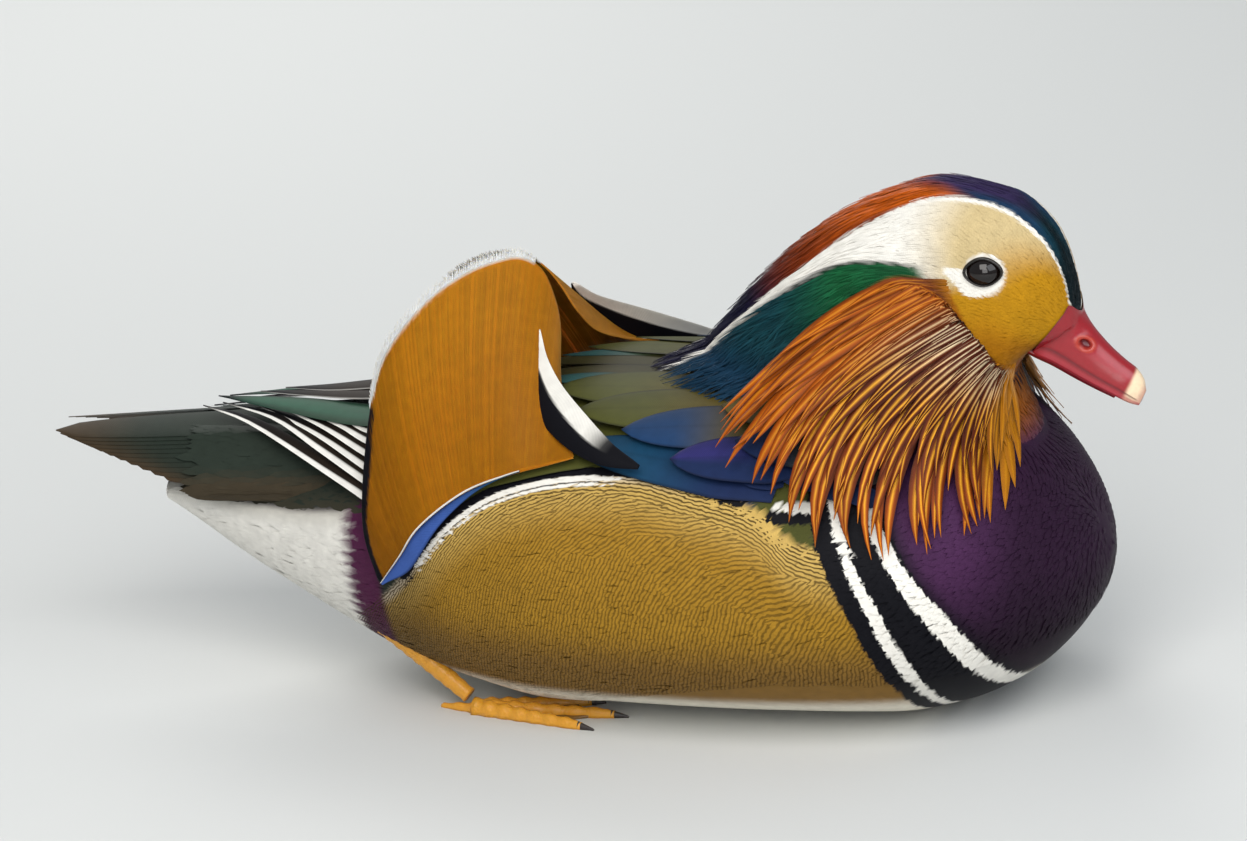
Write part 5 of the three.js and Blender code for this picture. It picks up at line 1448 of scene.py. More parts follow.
def sail_tint(places, along, up, outer, side, fringed=True):
    """Orange web, with a black strip along the rear rim and a white fringe above. The upper front and the
    inner face are painted paler and brighter, as painted light.
    """
    return paint(along.shape, "sail", ("sail_light", band(0.3, 0.7, 0.2, along) * soft(0.3, 0.9, up)),
                 ("sail_deep", 0.75 * (1 - soft(0.06, 0.42, along))),
                 ("sail_inner", 0.5 * soft(0.7, 0.95, along) * soft(0.3, 0.9, up)),
                 ("sail_inner", 0.5 * (1 - outer)),
                 ("black", 1 - soft(STRIP - 0.2, STRIP + 0.3, from_rim(places, side, 0.0, 0.235))),
                 ("white", fringed * (1 - soft(0.2, FRINGE, from_rim(places, side, 0.26, 0.7)))))


SAIL_SILK = plumage("sail_silk", barb=0.6, contrast=0.08, rough=0.55, sheen=0.01, bump=0.08, glow=0.3)
SHEET_RIBS, SHEET_STEPS, SHEET_THICK = 120, 60, 0.45
for name, side in SIDES.items():
    surface = sail_surface(side)
    along, up = np.meshgrid(np.linspace(0, 1, SHEET_RIBS), np.linspace(0, 1, SHEET_STEPS), indexing="ij")
    normal = surface.normal(np.clip(along, 0.01, 0.99), np.clip(up, 0.02, 0.98))
    points, tints = [], []
    for way in (1, -1):
        points.append((surface.point(along, up) + way * SHEET_THICK / 2 * normal).reshape(-1, 3))
        # Which face this is: the inner face of the sheet gets the painted light.
        outer = 1.0 if way * side * normal[SHEET_RIBS // 2, SHEET_STEPS // 2, 1] > 0 else 0.0
        tints.append(sail_tint(surface.point(along, up), along, up, outer, side).reshape(-1, 3))
    faces = slab_faces(SHEET_RIBS, SHEET_STEPS)[:, ::-side]
    in_mm = np.tile(np.stack([30 * along, 70 * up], -1).reshape(-1, 2), (2, 1))
    made = piece("sail_sheet_" + name, np.concatenate(points), *listed(faces), SAIL_SILK, "sail_web",
                 np.concatenate(tints), {"Vane": in_mm})
    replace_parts(made, "sail_" + name)

# %% Barbs and fringe of the sails
BARB_ROWS = 10
for name, side in SIDES.items():
    random = np.random.default_rng(60 + side)
    surface = sail_surface(side)
    count = 620
    start = np.sort(random.random(count))
    t = np.linspace(0, 1, BARB_ROWS)
    top = 0.985 - 0.02 * random.random(count)
    along = np.clip(start[:, None] + 0.003 * random.normal(size=count)[:, None] * t, 0.004, 0.996)
    up = 0.02 + (top[:, None] - 0.02) * t
    path = surface.point(along, up)
    out = surface.normal(np.clip(along, 0.01, 0.99), np.clip(up, 0.02, 0.98))
    shade = 0.98 + 0.04 * random.random(count)
    half = 0.42 * (0.8 + 0.4 * random.random(count))[:, None] * (1 - 0.6 * t**8)[None]

    def barb_tint(place, share, wide):
        tint = sail_tint(place, wider(along, wide), wider(up, wide), 1.0, side, fringed=False)
        return tint * shade[:, None, None, None]

    vanes("sail_barbs_" + name, path, out, half, SHEET_THICK + 0.12, SAIL_SILK, "sail_web", barb_tint)

    # The fringe: the ends of the barbs stand free over the rim as short white hairs.
    count = 1000
    start = 0.24 + 0.47 * random.random(count)
    base = surface.point(start, 0.985)
    onwards = unit(surface.point(start, 1.0) - surface.point(start, 0.9))
    onwards = onwards + 0.05 * random.normal(size=(count, 3))
    long = 2.2 + 2.6 * random.random(count) * band(0.24, 0.7, 0.06, start)
    path = base[:, None] + onwards[:, None] * long[:, None, None] * np.linspace(0, 1, 4)[:, None]
    out = np.broadcast_to(surface.normal(start, np.full(count, 0.97))[:, None], path.shape)
    half = 0.17 * np.array([1, 0.8, 0.5, 0.2])
    vanes("sail_fringe_" + name, path, out, half, 0.3, SAIL_SILK, "sail_web",
          lambda top, share, wide: paint(share.shape, "white"))

# %% [markdown]
# The narrow outer web of the same feather is violet blue. It lies below the white shaft, between the sail
# and the flank.

# %% Outer web and shaft of the sail feather
WEB_ROWS = 40
for name, side in SIDES.items():
    t = np.linspace(0.01, 0.72, WEB_ROWS)
    upper = sail_shaft(t) * np.array([1, side, 1])
    x = upper[:, 0]
    lower = over_back.lift(x, side * (flank_edge(x) + 0.4), 1.0)
    out = over_back.normal(x, side * (flank_edge(x) - 2.0))
    middle, reach = (upper + lower) / 2, np.linalg.norm(upper - lower, axis=1) / 2
    share = np.linspace(0, 1, WEB_ROWS)
    narrow = soft(-0.12, 0.3, share) * (1 - soft(0.55, 1.0, share))
    path = upper + (middle - upper) * narrow[:, None] + 0.5 * out

    def web_tint(top, share, wide):
        return paint(share.shape, "sail_blue", ("wing_teal", soft(0.55, 0.9, share)),
                     ("black", 0.7 * soft(0.93, 1.0, np.abs(wide))))

    vanes("sail_outer_web_" + name, [path], [out], np.maximum(reach * narrow, 0.3), 0.35, SMOOTH, "sail_web",
          web_tint, 0.05, 9)
    vanes("sail_shaft_" + name, [upper + 0.7 * out], [out], 0.1 + 0.16 * band(0.25, 0.85, 0.25, share), 0.8,
          SMOOTH, "sail_web", lambda top, share, wide: paint(share.shape, "white"), 0.0, 5)

# %% [markdown]
# ## Flight feathers
#
# Behind the sail the closed wing shows the edges of its flight feathers, laid over one another like a
# folded fan. They are dark, each with a narrow silvery outer edge. A broad green feather and two dark ones
# lie on top.

# %% Flight feathers
# The half width of each feather, the turn of its root in degrees, and its line from root to tip.
FLIGHT_FEATHERS = [
    (4.2, 46, [(-72, 51, 65), (-86.8, 44, 71.5), (-101.3, 36, 76.4), (-132.9, 16, 84.6), (-152.5, 5, 86)]),
    (4.2, 54, [(-72, 49, 70), (-87.2, 41.5, 76.0), (-106.7, 29, 82.0), (-125, 17, 87.0), (-145.5, 6, 87.6)]),
    (4.2, 62, [(-72, 46, 74), (-87.8, 39, 79.8), (-110, 23.5, 85.2), (-133.5, 9, 88.4)]),
    (4.2, 72, [(-72, 43, 79), (-88.4, 36, 83.3), (-106, 24, 87), (-123, 13, 88.8)]),
    (4.2, 80, [(-72, 39, 83), (-89.4, 32, 86.1), (-100, 25, 88), (-111.5, 18, 89)]),
    (4.2, 84, [(-72, 34, 86), (-90.6, 28, 88), (-99.5, 23, 89.2)]),
    (8.0, 86, [(-66, 25, 93), (-94, 19, 90.6), (-120, 12, 90.4), (-147, 5, 89.4)]),
    (4.6, 84, [(-64, 12, 97), (-96, 8, 93.4), (-115, 4.5, 91.6), (-134, 2, 90.2)]),
    (4.0, 86, [(-64, 5, 98.5), (-92, 3.4, 95.2), (-110, 2.5, 92.8), (-126, 1.2, 91.4)]),
]
EDGED, GREEN, TOP = 6, 6, 7  # the first six have a silvery edge, the next is green, the last lie on top
FLAT_TIP = 84.0  # the turn of the vanes near their tips, in degrees
LEFT_WING_DROP = 3.5
QUILL_ROWS = 18
for name, side in SIDES.items():
    t = np.linspace(0, 1, QUILL_ROWS)
    drop = np.array([0, 0, LEFT_WING_DROP if side == LEFT else 0])
    paths, outs, halves = [], [], []
    for i, (widest, turn, spots) in enumerate(FLIGHT_FEATHERS):
        line = bend(np.array(spots) * np.array([1, side, 1]) - drop)(t)
        turned = np.radians(turn + (FLAT_TIP - turn) * np.minimum(1, 1.6 * t))
        out = unit(np.stack([-0.1 + 0 * t, side * np.cos(turned), np.sin(turned)], -1))
        half = np.maximum(widest * point_tip(t), 0.15)
        inward = unit(np.cross(np.gradient(line, axis=0), out)) * -side
        paths.append(line + inward * (0.75 * half * (i < EDGED))[:, None])
        outs.append(out)
        halves.append(half)

    def flight_tint(top, share, wide):
        index = np.arange(len(FLIGHT_FEATHERS))[:, None, None] + 0 * share
        shine = (index == GREEN) * (1 - 0.5 * soft(0.3, 0.9, np.abs(wide)))
        edge = soft(0.44, 0.54, wide * -side) * (1 - soft(0.9, 0.97, share))
        return paint(share.shape, "flight_brown", ("black", soft(0.5, 0.9, share)),
                     ("flight_green", shine * (1 - soft(0.8, 0.98, share))),
                     ("silver", 0.5 * soft(0.86, 0.94, np.abs(wide)) * (index >= TOP)),
                     ("silver", edge * (index < EDGED)))

    made = vanes("quills_" + name, paths, outs, halves, 0.4, SMOOTH, "flight_feathers", flight_tint, 0.1, 21)
    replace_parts(made, "flight_" + name)

# %% [markdown]
# ## The tail
#
# Stiff feathers form a shallow roof: the middle pair lies on top, and each next pair is a step lower and a
# step outwards. Fine half steps make the fan's side look closed. Dark coverts hide the roots from above.

# %% Tail
TAIL_PAIRS, TAIL_TIP_X, TAIL_HALF, TAIL_STEP = 11, -202.0, 6.3, 0.2
paths, outs, halves = [], [], []
for side in (RIGHT, LEFT):
    dropped = 0.0
    for k in range(TAIL_PAIRS):
        share = k / (TAIL_PAIRS - 1)
        slope = math.radians(18 + 3.2 * k)
        root = (-106, side * (5 + 0.8 * k), 84.5 - 0.5 * dropped)
        middle = (-145 + 7 * share, side * (TAIL_HALF + 0.4 + 1.2 * k), 81.5 - dropped)
        tip = (TAIL_TIP_X + (-164 - TAIL_TIP_X) * share**1.3, side * (6 + 1.3 * k), 76.6 - 0.85 * dropped)
        t = np.linspace(0, 1, QUILL_ROWS)
        paths.append(bend([root, middle, tip])(t))
        outs.append(np.tile([0, side * math.sin(slope), math.cos(slope)], (QUILL_ROWS, 1)))
        halves.append(np.maximum(TAIL_HALF * round_tip(t)**0.75, 0.3))
        dropped += 0.95 * math.tan(slope) + TAIL_STEP / math.cos(slope)


def tail_tint(top, share, wide):
    return paint(share.shape, "tail", ("tail_edge", 0.75 * soft(0.72, 0.97, share)),
                 ("tail_edge", 0.5 * (1 - soft(64, 72, top[..., 2]))),
                 ("black", 0.12 * soft(0.9, 1.0, np.abs(wide))))


made = vanes("tail_fan", paths, outs, halves, 0.3, SMOOTH, "tail_feathers", tail_tint, 0.04, 13)
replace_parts(made, "tail")

# %% [markdown]
# Long coverts lie over most of the tail on both sides and hide the steps between its feathers. They are
# rooted on the rump, and their surface runs from the ridge out over the edges of the tail feathers.

# %% Tail coverts
TAIL_SIDE = [
    (0, 82.2), (7, 81.4), (13.4, 80.0), (15.8, 77.8), (18.2, 75.2), (20.8, 72.2), (23.2, 69.2), (24.8, 66.2),
    (25.0, 63.6), (24.0, 61.2)]  # y and z of the fan's outside at x = -140
roof_y, roof_z = curves(TAIL_SIDE)
roof_rise = through([(-200, -5.0), (-165, -1.6), (-140, 0.3), (-122, 1.2), (-104, 2.2), (-88, 3.0)])
roof_wide = through([(-200, 0.8), (-165, 0.93), (-140, 1.0), (-122, 1.06), (-104, 1.2), (-88, 1.5)])


def tail_roof(x, along):
    """The outside of the tail. along is 0 on the ridge, 7 at the lowest feather's edge and 9 at its end."""
    x, along = np.broadcast_arrays(np.asarray(x, float), np.asarray(along, float))
    step = np.abs(along)
    y = np.sign(along) * roof_y(step) * roof_wide(x)
    return np.stack([x, y, roof_z(step) + roof_rise(x)], -1)


roof = Surface(tail_roof, (0.5, 0.1), 1, lambda x, along: torso_unwrap(x, along / 14))


def covert_colour(top, uu, vv):
    return paint(uu.shape, "tail", ("tail_edge", 0.5 * soft(5, 7, np.abs(vv))))


def rump_colour(top, uu, vv):
    over_line = top[..., 2] - RUMP_LINE(top[..., 0])
    return paint(uu.shape, "tail", ("tail_edge", 0.3 * (1 - soft(0, 8, over_line))))


roots = scatter(roof, (-142, -84), (-8.6, 8.6), 2.1, 71, lambda u, v, p: p[:, 2] > RUMP_LINE(u) + 0.5)
coat("tail_coverts", roof, roots, steady(-1.0, 0, -0.06), 15.0, 1.5, (-1.2, -0.1, 0.05), round_tip, DOWN,
     "tail_feathers", covert_colour, 72, rows=7, thick=0.06, vary=0.05, stray=0.03)

# The rump's own feathers close the side between these and the white under the tail.
roots = scatter(torso, (-150, -84), (-0.6, 0.6), 2.1, 73,
                lambda u, v, p: (p[:, 2] > RUMP_LINE(u) + 0.5) & (np.abs(v) > 0.1))
coat("rump_feathers", torso, roots, steady(-1.0, 0, 0.14), 12.0, 1.4, (-0.7, -0.1, 0.05), round_tip, DOWN,
     "body_plumage", rump_colour, 74, rows=6, thick=0.06, vary=0.05, stray=0.03)

# %% [markdown]
# ## The bill
#
# The bill is horn, crimson with a pale nail at its end. Each section is a half round over the mouth line.
# The nostril is an oval hole with a raised lip, and a thin groove along the edge sets the lips off. The
# groove, the hole and the base are painted dark as shade, and the lower bill a little darker.

# %% Horn finish
def horn(name, rough=0.32, fine=900.0, scaly=False):
    """Horn coloured by the tint, faintly mottled, with a wet coat, smooth or in small scales."""
    finish = Finish(name, {"Roughness": rough, "Coat Weight": 0.25, "Coat Roughness": 0.2,
                           "Subsurface Weight": 0.06, "Subsurface Radius": (0.004, 0.001, 0.001)})
    place = finish.node("TexCoord").outputs["Object"]
    noise = finish.node("TexNoise", {"Scale": fine, "Detail": 4.0, "Vector": place})
    colour = finish.shaded_tint(finish.node("MapRange", {"Value": noise, "To Min": 0.84, "To Max": 1.12}))
    if not scaly:
        return finish.done(colour, noise, 0.15)
    scales = finish.node("TexVoronoi", {"Scale": 750.0, "Vector": place}, feature="DISTANCE_TO_EDGE")
    return finish.done(colour, scales, 0.6, 0.0004)


HORN = horn("bill_horn")

# %% Bill
# For each section the x and z of the ridge and of the mouth line, and the half width.
BILL_SLICES = [
    (127.5, 126.5, 112.5, 116, 9),
    (132.4, 121.6, 118.5, 112, 8.7),
    (136.2, 116.3, 124.5, 108.6, 7.7),
    (140.2, 111.6, 130.5, 104.7, 6.8),
    (144.2, 107.8, 136.5, 101.1, 6.1),
    (147.6, 104.9, 141.8, 98.1, 5.5),
    (149.6, 101.4, 145.6, 95.6, 4.1),
    (150, 98.2, 148, 94.2, 2.2),
]
MOUTH_GAP = 0.35
NOSTRIL = dict(x=133.2, z=114.6, long=3.5, high=2.2, tilt=0.66)
HOLE_SHARE = 0.55  # of the nostril's length and height
lower_depth = through([(0, 3.4), (3, 2.8), (5, 2.0)])
ridge_x, ridge_z, mouth_x, mouth_z, bill_half = curves(BILL_SLICES)
BILL_LENGTHS, BILL_ARC = 90, 64


def bill_point(at, arc, under=False):
    """A point of the bill. arc runs from -1 on the right lip over the middle to 1 on the left lip."""
    low, up, tall = spoke(at, mouth_x, mouth_z, ridge_x, ridge_z)
    angle = (arc + 1) / 2 * np.pi
    rise, out = np.sin(angle), -np.cos(angle)
    wide = np.where(under, bill_half(at) - 0.8, bill_half(at))
    height = np.where(under, -MOUTH_GAP - lower_depth(at) * rise**0.85, tall * rise**0.85)
    place = low + up * height[..., None]
    place[..., 1] += out * wide * (1 - 0.1 * rise * np.abs(out))
    return place


FEATHER_LINE = through([
    (0, 0.15), (0.1, 0.3), (0.16, 0.5), (0.21, 0.66), (0.3, 0.6), (0.5, 0.57), (0.6, 0.62), (0.8, 0.65),
    (0.87, 1.0)])  # the head's slice where the feathers end, by its off
MOUTH_OFF = 0.87


def clear_of_head(places, least=0.3):
    """The places, with those that lie in the head's front or too near to it moved out over it."""
    moved = places.reshape(-1, 3).copy()
    for i, place in enumerate(moved):
        spot, index, apart = trees["neck"].find(place)
        slice_here = neck_u.ravel()[index]
        rise = float(np.dot(place - sources["neck"][0][index], neck_normals[index])) - HEAD_COAT
        if 0.03 < slice_here < 1.5 and rise < least:
            moved[i] = place + neck_normals[index] * (least - rise)
    return moved.reshape(places.shape)


def bill_piece(name, node, last, under):
    at, arc = np.meshgrid(np.linspace(0, last, BILL_LENGTHS), np.linspace(-1, 1, BILL_ARC), indexing="ij")
    points, lip = bill_point(at, arc, under), 1 - np.abs(arc)
    nail = paint(at.shape, "nail", ("bill_rose", 0.55 * soft(6.0, 7.0, at)))
    # A rosy band along each side of the bill is a painted highlight. Towards the base the horn is painted
    # darker, and black at the very base, as shade where the feathers meet it.
    tint = paint(at.shape, "bill", ("bill_rose", 0.55 * band(0.3, 0.6, 0.1, np.abs(arc)) * soft(0.8, 2, at)),
                 ("bill_dark", 0.6 * (1 - soft(0.0, 0.5, at))), ("black", 0.8 * (1 - soft(0.04, 0.12, at))))
    tint = blend(tint, nail, soft(5.0, 5.35, at + 0.5 * (0.5 - np.abs(arc))))
    faces = arch_faces(BILL_LENGTHS, BILL_ARC)
    if under:
        faces = [face[::-1] for face in faces]
        # The lower bill is painted darker, as shade under the upper one.
        tint = over(tint, ("bill_dark", 0.5))
    else:
        # The base follows the line where the head's feathers end.
        off = MOUTH_OFF * arc
        base = neck.lift(FEATHER_LINE(np.abs(off)), off, 0.3)
        points = clear_of_head(points + (base - points) * (1 - soft(0, 1.5, at))[..., None])
        # A shallow groove runs just over the lip, and the nostril is pressed in with a raised rim. Both the
        # groove and the hole are painted dark, as shade.
        inward = unit(points.mean(1, keepdims=True) - points)
        groove = np.exp(-((lip - 0.12) / 0.024)**2) * soft(0.6, 1.4, at) * (1 - soft(6.2, 6.8, at))
        points = points + inward * (0.3 * groove)[..., None]
        ahead, above = points[..., 0] - NOSTRIL["x"], points[..., 2] - NOSTRIL["z"]
        cos, sin = math.cos(NOSTRIL["tilt"]), math.sin(NOSTRIL["tilt"])
        oval = np.hypot((ahead * cos - above * sin) / NOSTRIL["long"],
                        (ahead * sin + above * cos) / NOSTRIL["high"])
        hole = 1 - soft(0.75 * HOLE_SHARE, 1.15 * HOLE_SHARE, oval)
        points = points + inward * (1.6 * hole - 0.3 * band(0.6, 0.95, 0.2, oval))[..., None]
        tint = over(tint, ("bill_rose", 0.7 * (1 - soft(0.07, 0.1, lip)) * soft(0.6, 1.4, at)),
                    ("bill_dark", 0.85 * groove), ("nostril", band(0.3, 1.0, 0.08, oval)),
                    ("bill_dark", hole))
    made = piece(name, points.reshape(-1, 3), *listed(faces), HORN, "bill", tint.reshape(-1, 3))
    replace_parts(made, node)


bill_piece("upper_bill", "bill_upper", len(BILL_SLICES) - 1, False)
bill_piece("lower_bill", "bill_lower", 5, True)

# %% [markdown]
# ## Eyes and lids
#
# The eye is nearly black, and wet. It sits in a narrow ring of dark skin, the two lids, which is a little
# wider than high and drawn out to a point in front and behind.

# %% Eyes
EYE = dict(radius=6.4, proud=2.2)
LID = dict(radius=5.4, tube=0.85, tall=0.86)


def gloss(name, colour, rough):
    """A wet surface of one colour, slightly mottled."""
    finish = Finish(name, {"Roughness": rough, "Coat Weight": 0.35, "Coat Roughness": 0.02,
                           "Specular IOR Level": 0.3})
    noise = finish.node("TexNoise", {"Scale": 700.0})
    return finish.done(finish.mix(noise, (*(0.5 * colour), 1), (*(1.5 * colour), 1)))


EYE_WET = gloss("wet_eye", tone("0f0806"), 0.06)
LID_SKIN = gloss("lid_skin", tone("17130f"), 0.35)
RIM_POINTS, TUBE_POINTS, DOME_RINGS = 64, 16, 18
for name, side in SIDES.items():
    at, off = np.array(EYE_SLICE), np.array(side * EYE_OFF)
    look, seat = neck.normal(at, off), neck.point(at, off)
    tall_way = unit(np.array([0, 0, 1.0]) - look[2] * look)
    wide_way = np.cross(tall_way, look)
    angle = np.linspace(0, 2 * np.pi, RIM_POINTS, endpoint=False)
    spread = np.cos(angle)[:, None] * wide_way + LID["tall"] * np.sin(angle)[:, None] * tall_way

    # The front of the eyeball as rings from behind the lids to the cornea's middle.
    lean = np.linspace(math.radians(76), 0.02, DOME_RINGS)
    out = EYE["radius"] * np.cos(lean) - (EYE["radius"] - EYE["proud"])
    radius = EYE["radius"] * np.sin(lean)
    points = seat + out[:, None, None] * look + radius[:, None, None] * spread
    faces = grid_faces(DOME_RINGS, RIM_POINTS, closed=True)[:, ::-1].tolist()
    last = (DOME_RINGS - 1) * RIM_POINTS
    faces += [list(range(last, last + RIM_POINTS)), list(range(RIM_POINTS))[::-1]]
    made = piece("eyeball_" + name, points.reshape(-1, 3), *listed(faces), EYE_WET, "eye")
    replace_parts(made, "eye_" + name)

    # The lids as one rim, with its corners drawn out.
    swing = np.linspace(0, 2 * np.pi, TUBE_POINTS, endpoint=False)
    thin = LID["tube"] * (0.72 + 0.2 * np.sin(angle))
    reach = (4.9 + 0.85 * np.abs(np.cos(angle))**6)[:, None] + (thin * 0.8)[:, None] * np.cos(swing)
    stand = 0.25 + thin[:, None] * np.sin(swing)
    rim = seat + stand[..., None] * look + reach[..., None] * spread[:, None]
    order = np.arange(RIM_POINTS * TUBE_POINTS).reshape(RIM_POINTS, TUBE_POINTS)
    rolled = np.roll(order, -1, 0)
    quads = np.stack([order, rolled, np.roll(rolled, -1, 1), np.roll(order, -1, 1)], -1).reshape(-1, 4)
    piece("eyelids_" + name, rim.reshape(-1, 3), *listed(quads), LID_SKIN, "face_plumage")

# %% [markdown]
# ## Legs and feet
#
# The feet lie tucked under the belly: three toes with webs, a small hind toe, and claws. The skin is orange
# yellow with rows of small scales along the toes, and the webs are darker.

# %% Toes and webs
SCALES = horn("foot_skin", rough=0.5, fine=500.0, scaly=True)
FOOT = dict(heel_x=-60.0, y=38.0, length=45.0, splay=0.27)
TOES = [(1, 0.86), (0, 1.0), (-1, 0.8)]  # the turn of each, in splays, and its share of the foot's length
BAR_RINGS, BAR_ARCH = 40, 14
WEB_RINGS, WEB_ARCH = 24, 16


def toe_end(side, turn, reach):
    angle, long = turn * FOOT["splay"] * side, FOOT["length"] * reach
    return np.array([FOOT["heel_x"] + long * math.cos(angle), side * FOOT["y"] + long * math.sin(angle), 0.0])


def toe_bar(start, end, half, high, knuckles, colour):
    """A toe or claw as an arch over a flat sole: points, faces and tint."""
    t, angle = np.linspace(0, 1, BAR_RINGS), np.linspace(0, np.pi, BAR_ARCH)
    along = unit(end - start)
    across = np.array([-along[1], along[0], 0])
    swell = (1 + 0.09 * np.cos(2 * np.pi * knuckles * t)) * np.where(t > 0.96, 0.75, 1)
    wide, tall = ((first + (last - first) * t) * swell for first, last in (half, high))
    centre = start + (end - start) * t[:, None]
    points = centre[:, None] + across * (np.cos(angle)[None] * wide[:, None])[..., None]
    points[..., 2] = np.sin(angle)[None]**0.8 * tall[:, None]
    return points.reshape(-1, 3), arch_faces(BAR_RINGS, BAR_ARCH), paint((BAR_RINGS * BAR_ARCH,), colour)


def web_between(heel, first, second):
    """The web between two toes, hollowed at its front edge: points, faces and tint."""
    s, v = np.meshgrid(np.linspace(0.04, 1, WEB_RINGS), np.linspace(0, 1, WEB_ARCH), indexing="ij")
    ends = first + (second - first) * v[..., None]
    reach = s * (0.93 - 0.14 * np.sin(np.pi * v))
    flat = heel + (ends - heel) * reach[..., None]
    wave = 0.15 * np.sin(v * np.pi * 3) * np.sin(np.pi * s)
    high = 0.75 + 0.5 * np.abs(2 * v - 1)**3 + wave
    points = [flat + np.stack([0 * s, 0 * s, z], -1) for z in (high, 0 * s + 0.02)]
    return np.concatenate(points).reshape(-1, 3), slab_faces(WEB_RINGS, WEB_ARCH).tolist(), \
        paint((2 * s.size,), "web")


def merge(parts):
    """Several point, face and tint groups as one."""
    points, faces, tints = zip(*parts)
    starts = np.cumsum([0] + [len(group) for group in points])
    moved = [[i + start for i in face] for start, group in zip(starts, faces) for face in group]
    return np.concatenate(points), moved, np.concatenate(tints)


# %% Feet and legs
SHANK_RINGS, SHANK_ROUND = 40, 24
for name, side in SIDES.items():
    heel = np.array([FOOT["heel_x"], side * FOOT["y"], 0.0])
    ends = [toe_end(side, *toe) for toe in TOES]
    parts = []
    for end in ends:
        way = unit(end - heel)
        parts.append(toe_bar(heel, end, (2.9, 1.5), (4.4, 2.6), 7, "foot"))
        parts.append(toe_bar(end - way, end + way * 4.5, (1.1, 0.3), (2.1, 0.6), 0, "claw"))
    parts.append(toe_bar(heel, heel + np.array([-12, side * -3, 0]), (1.8, 0.8), (3, 1.2), 2, "foot"))
    parts += [web_between(heel, first, second) for first, second in zip(ends, ends[1:])]
    points, faces, tints = merge(parts)
    made = piece("webbed_foot_" + name, points, *listed(faces), SCALES, "legs_and_feet", tints)
    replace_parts(made, "foot_" + name)

    # The leg, from the heel up and back to the ankle in the flank feathers.
    ankle = np.array([-90, side * 30, 25.0])
    foot = np.array([FOOT["heel_x"] - 2, side * (FOOT["y"] - 0.5), 5.2])
    t, angle = np.linspace(0, 1, SHANK_RINGS), np.linspace(0, 2 * np.pi, SHANK_ROUND, endpoint=False)
    line = foot + (ankle - foot) * t[:, None]
    along = unit(ankle - foot)
    first_way = unit(np.cross(along, np.array([0, 0, 1.0])))
    second_way = np.cross(first_way, along)
    thick = (2.3 + 1.0 * t)[:, None] * (1 + 0.05 * np.cos(2 * np.pi * 9 * t))[:, None]
    points = (line[:, None] + first_way * (thick * np.cos(angle))[..., None]
              + second_way * (thick * 1.1 * np.sin(angle))[..., None])
    ring = np.arange(SHANK_ROUND)
    last = ring + (SHANK_RINGS - 1) * SHANK_ROUND
    faces = [*grid_faces(SHANK_RINGS, SHANK_ROUND, closed=True), ring, last[::-1]]
    made = piece("shank_" + name, points.reshape(-1, 3), *listed(faces), SCALES, "legs_and_feet",
                 paint((SHANK_RINGS * SHANK_ROUND,), "foot"))
    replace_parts(made, "leg_" + name)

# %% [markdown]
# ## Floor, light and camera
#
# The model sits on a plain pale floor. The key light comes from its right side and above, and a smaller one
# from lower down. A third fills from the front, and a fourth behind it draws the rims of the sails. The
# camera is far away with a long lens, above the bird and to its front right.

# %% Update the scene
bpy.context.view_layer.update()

# %% Stage and lights
FLOOR_REACH = 6.0
corners = [(FLOOR_REACH * x, FLOOR_REACH * y, 0) for x, y in ((-1, -1), (1, -1), (1, 1), (-1, 1))]
floor_mesh = bpy.data.meshes.new("floor")
floor_mesh.from_pydata(corners, [], [(0, 1, 2, 3)])
floor_mesh.materials.append(Finish("pale_card", {"Roughness": 0.8}).done((0.62, 0.63, 0.62, 1)))
floor = bpy.data.objects.new("floor", floor_mesh)
bpy.context.scene.collection.objects.link(floor)


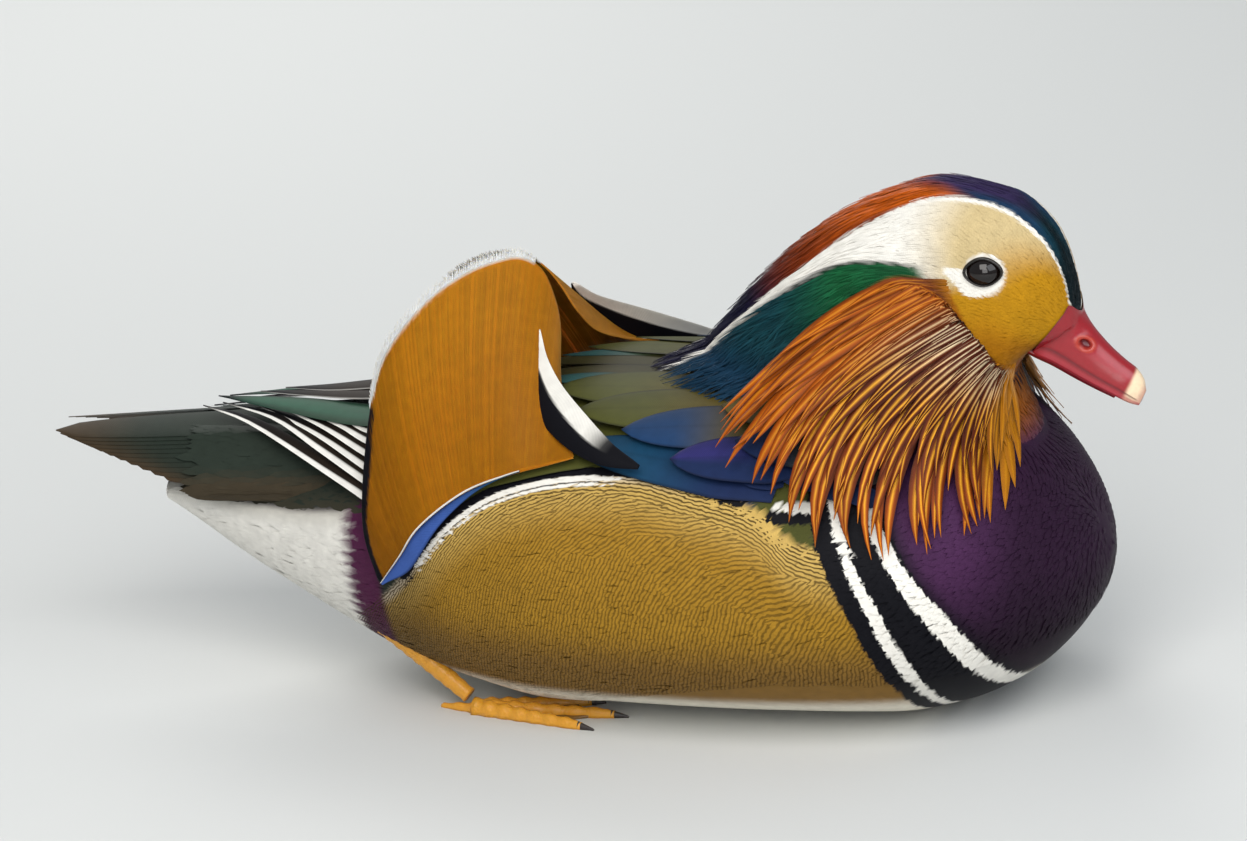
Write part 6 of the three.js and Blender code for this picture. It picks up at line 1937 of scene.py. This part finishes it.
def soft_light(name, place, aim, size, power, colour):
    """A square lamp at a place, turned to a point it shines on."""
    data = bpy.data.lights.new(name, "AREA")
    data.shape, data.size, data.energy, data.color = "SQUARE", size, power, colour
    lamp = bpy.data.objects.new(name, data)
    bpy.context.scene.collection.objects.link(lamp)
    lamp.location = place
    lamp.rotation_euler = (Vector(aim) - Vector(place)).to_track_quat("-Z", "Y").to_euler()


MIDDLE = (-0.03, 0.0, 0.08)
soft_light("key", (0.1, -0.75, 0.95), MIDDLE, 0.7, 8.0, (1.0, 0.97, 0.93))
soft_light("front", (0.32, -0.95, 0.45), MIDDLE, 0.5, 3.0, (1.0, 0.98, 0.96))
soft_light("fill", (0.75, -0.45, 0.7), MIDDLE, 0.7, 4.2, (0.93, 0.96, 1.0))
soft_light("rim", (-0.5, 0.8, 0.7), MIDDLE, 0.6, 5.5, (1.0, 0.98, 0.95))
world = bpy.data.worlds.new("sky")
world.use_nodes = True
world.node_tree.nodes["Background"].inputs["Color"].default_value = (0.8, 0.86, 0.92, 1)
world.node_tree.nodes["Background"].inputs["Strength"].default_value = 0.44
bpy.context.scene.world = world
bpy.context.scene.view_settings.view_transform = "Standard"  # colours stay as full as they are painted
print("four lamps and a sky")

# %% Camera
TURN, RISE, ROLL = (math.radians(angle) for angle in (18.0, 20.0, 4.6))
CAMERA_DISTANCE, AIM = 3000.0, Vector((-20.1, 9.8, 79.6))
back = Vector((math.sin(TURN) * math.cos(RISE), -math.cos(TURN) * math.cos(RISE), math.sin(RISE)))
level_right = Vector((math.cos(TURN), math.sin(TURN), 0))
level_up = back.cross(level_right)
right = math.cos(ROLL) * level_right - math.sin(ROLL) * level_up
up = math.sin(ROLL) * level_right + math.cos(ROLL) * level_up
lens = bpy.data.cameras.new("long_lens")
lens.lens, lens.sensor_width = 279.38, 36.0
lens.clip_start, lens.clip_end = 0.1, 20.0
camera = bpy.data.objects.new("camera", lens)
bpy.context.scene.collection.objects.link(camera)
rows = [[right[i], up[i], back[i], (AIM[i] + CAMERA_DISTANCE * back[i]) * MM] for i in range(3)]
camera.matrix_world = Matrix([*rows, [0, 0, 0, 1]])
bpy.context.scene.camera = camera
print("camera at", tuple(round(v, 3) for v in camera.matrix_world.translation))
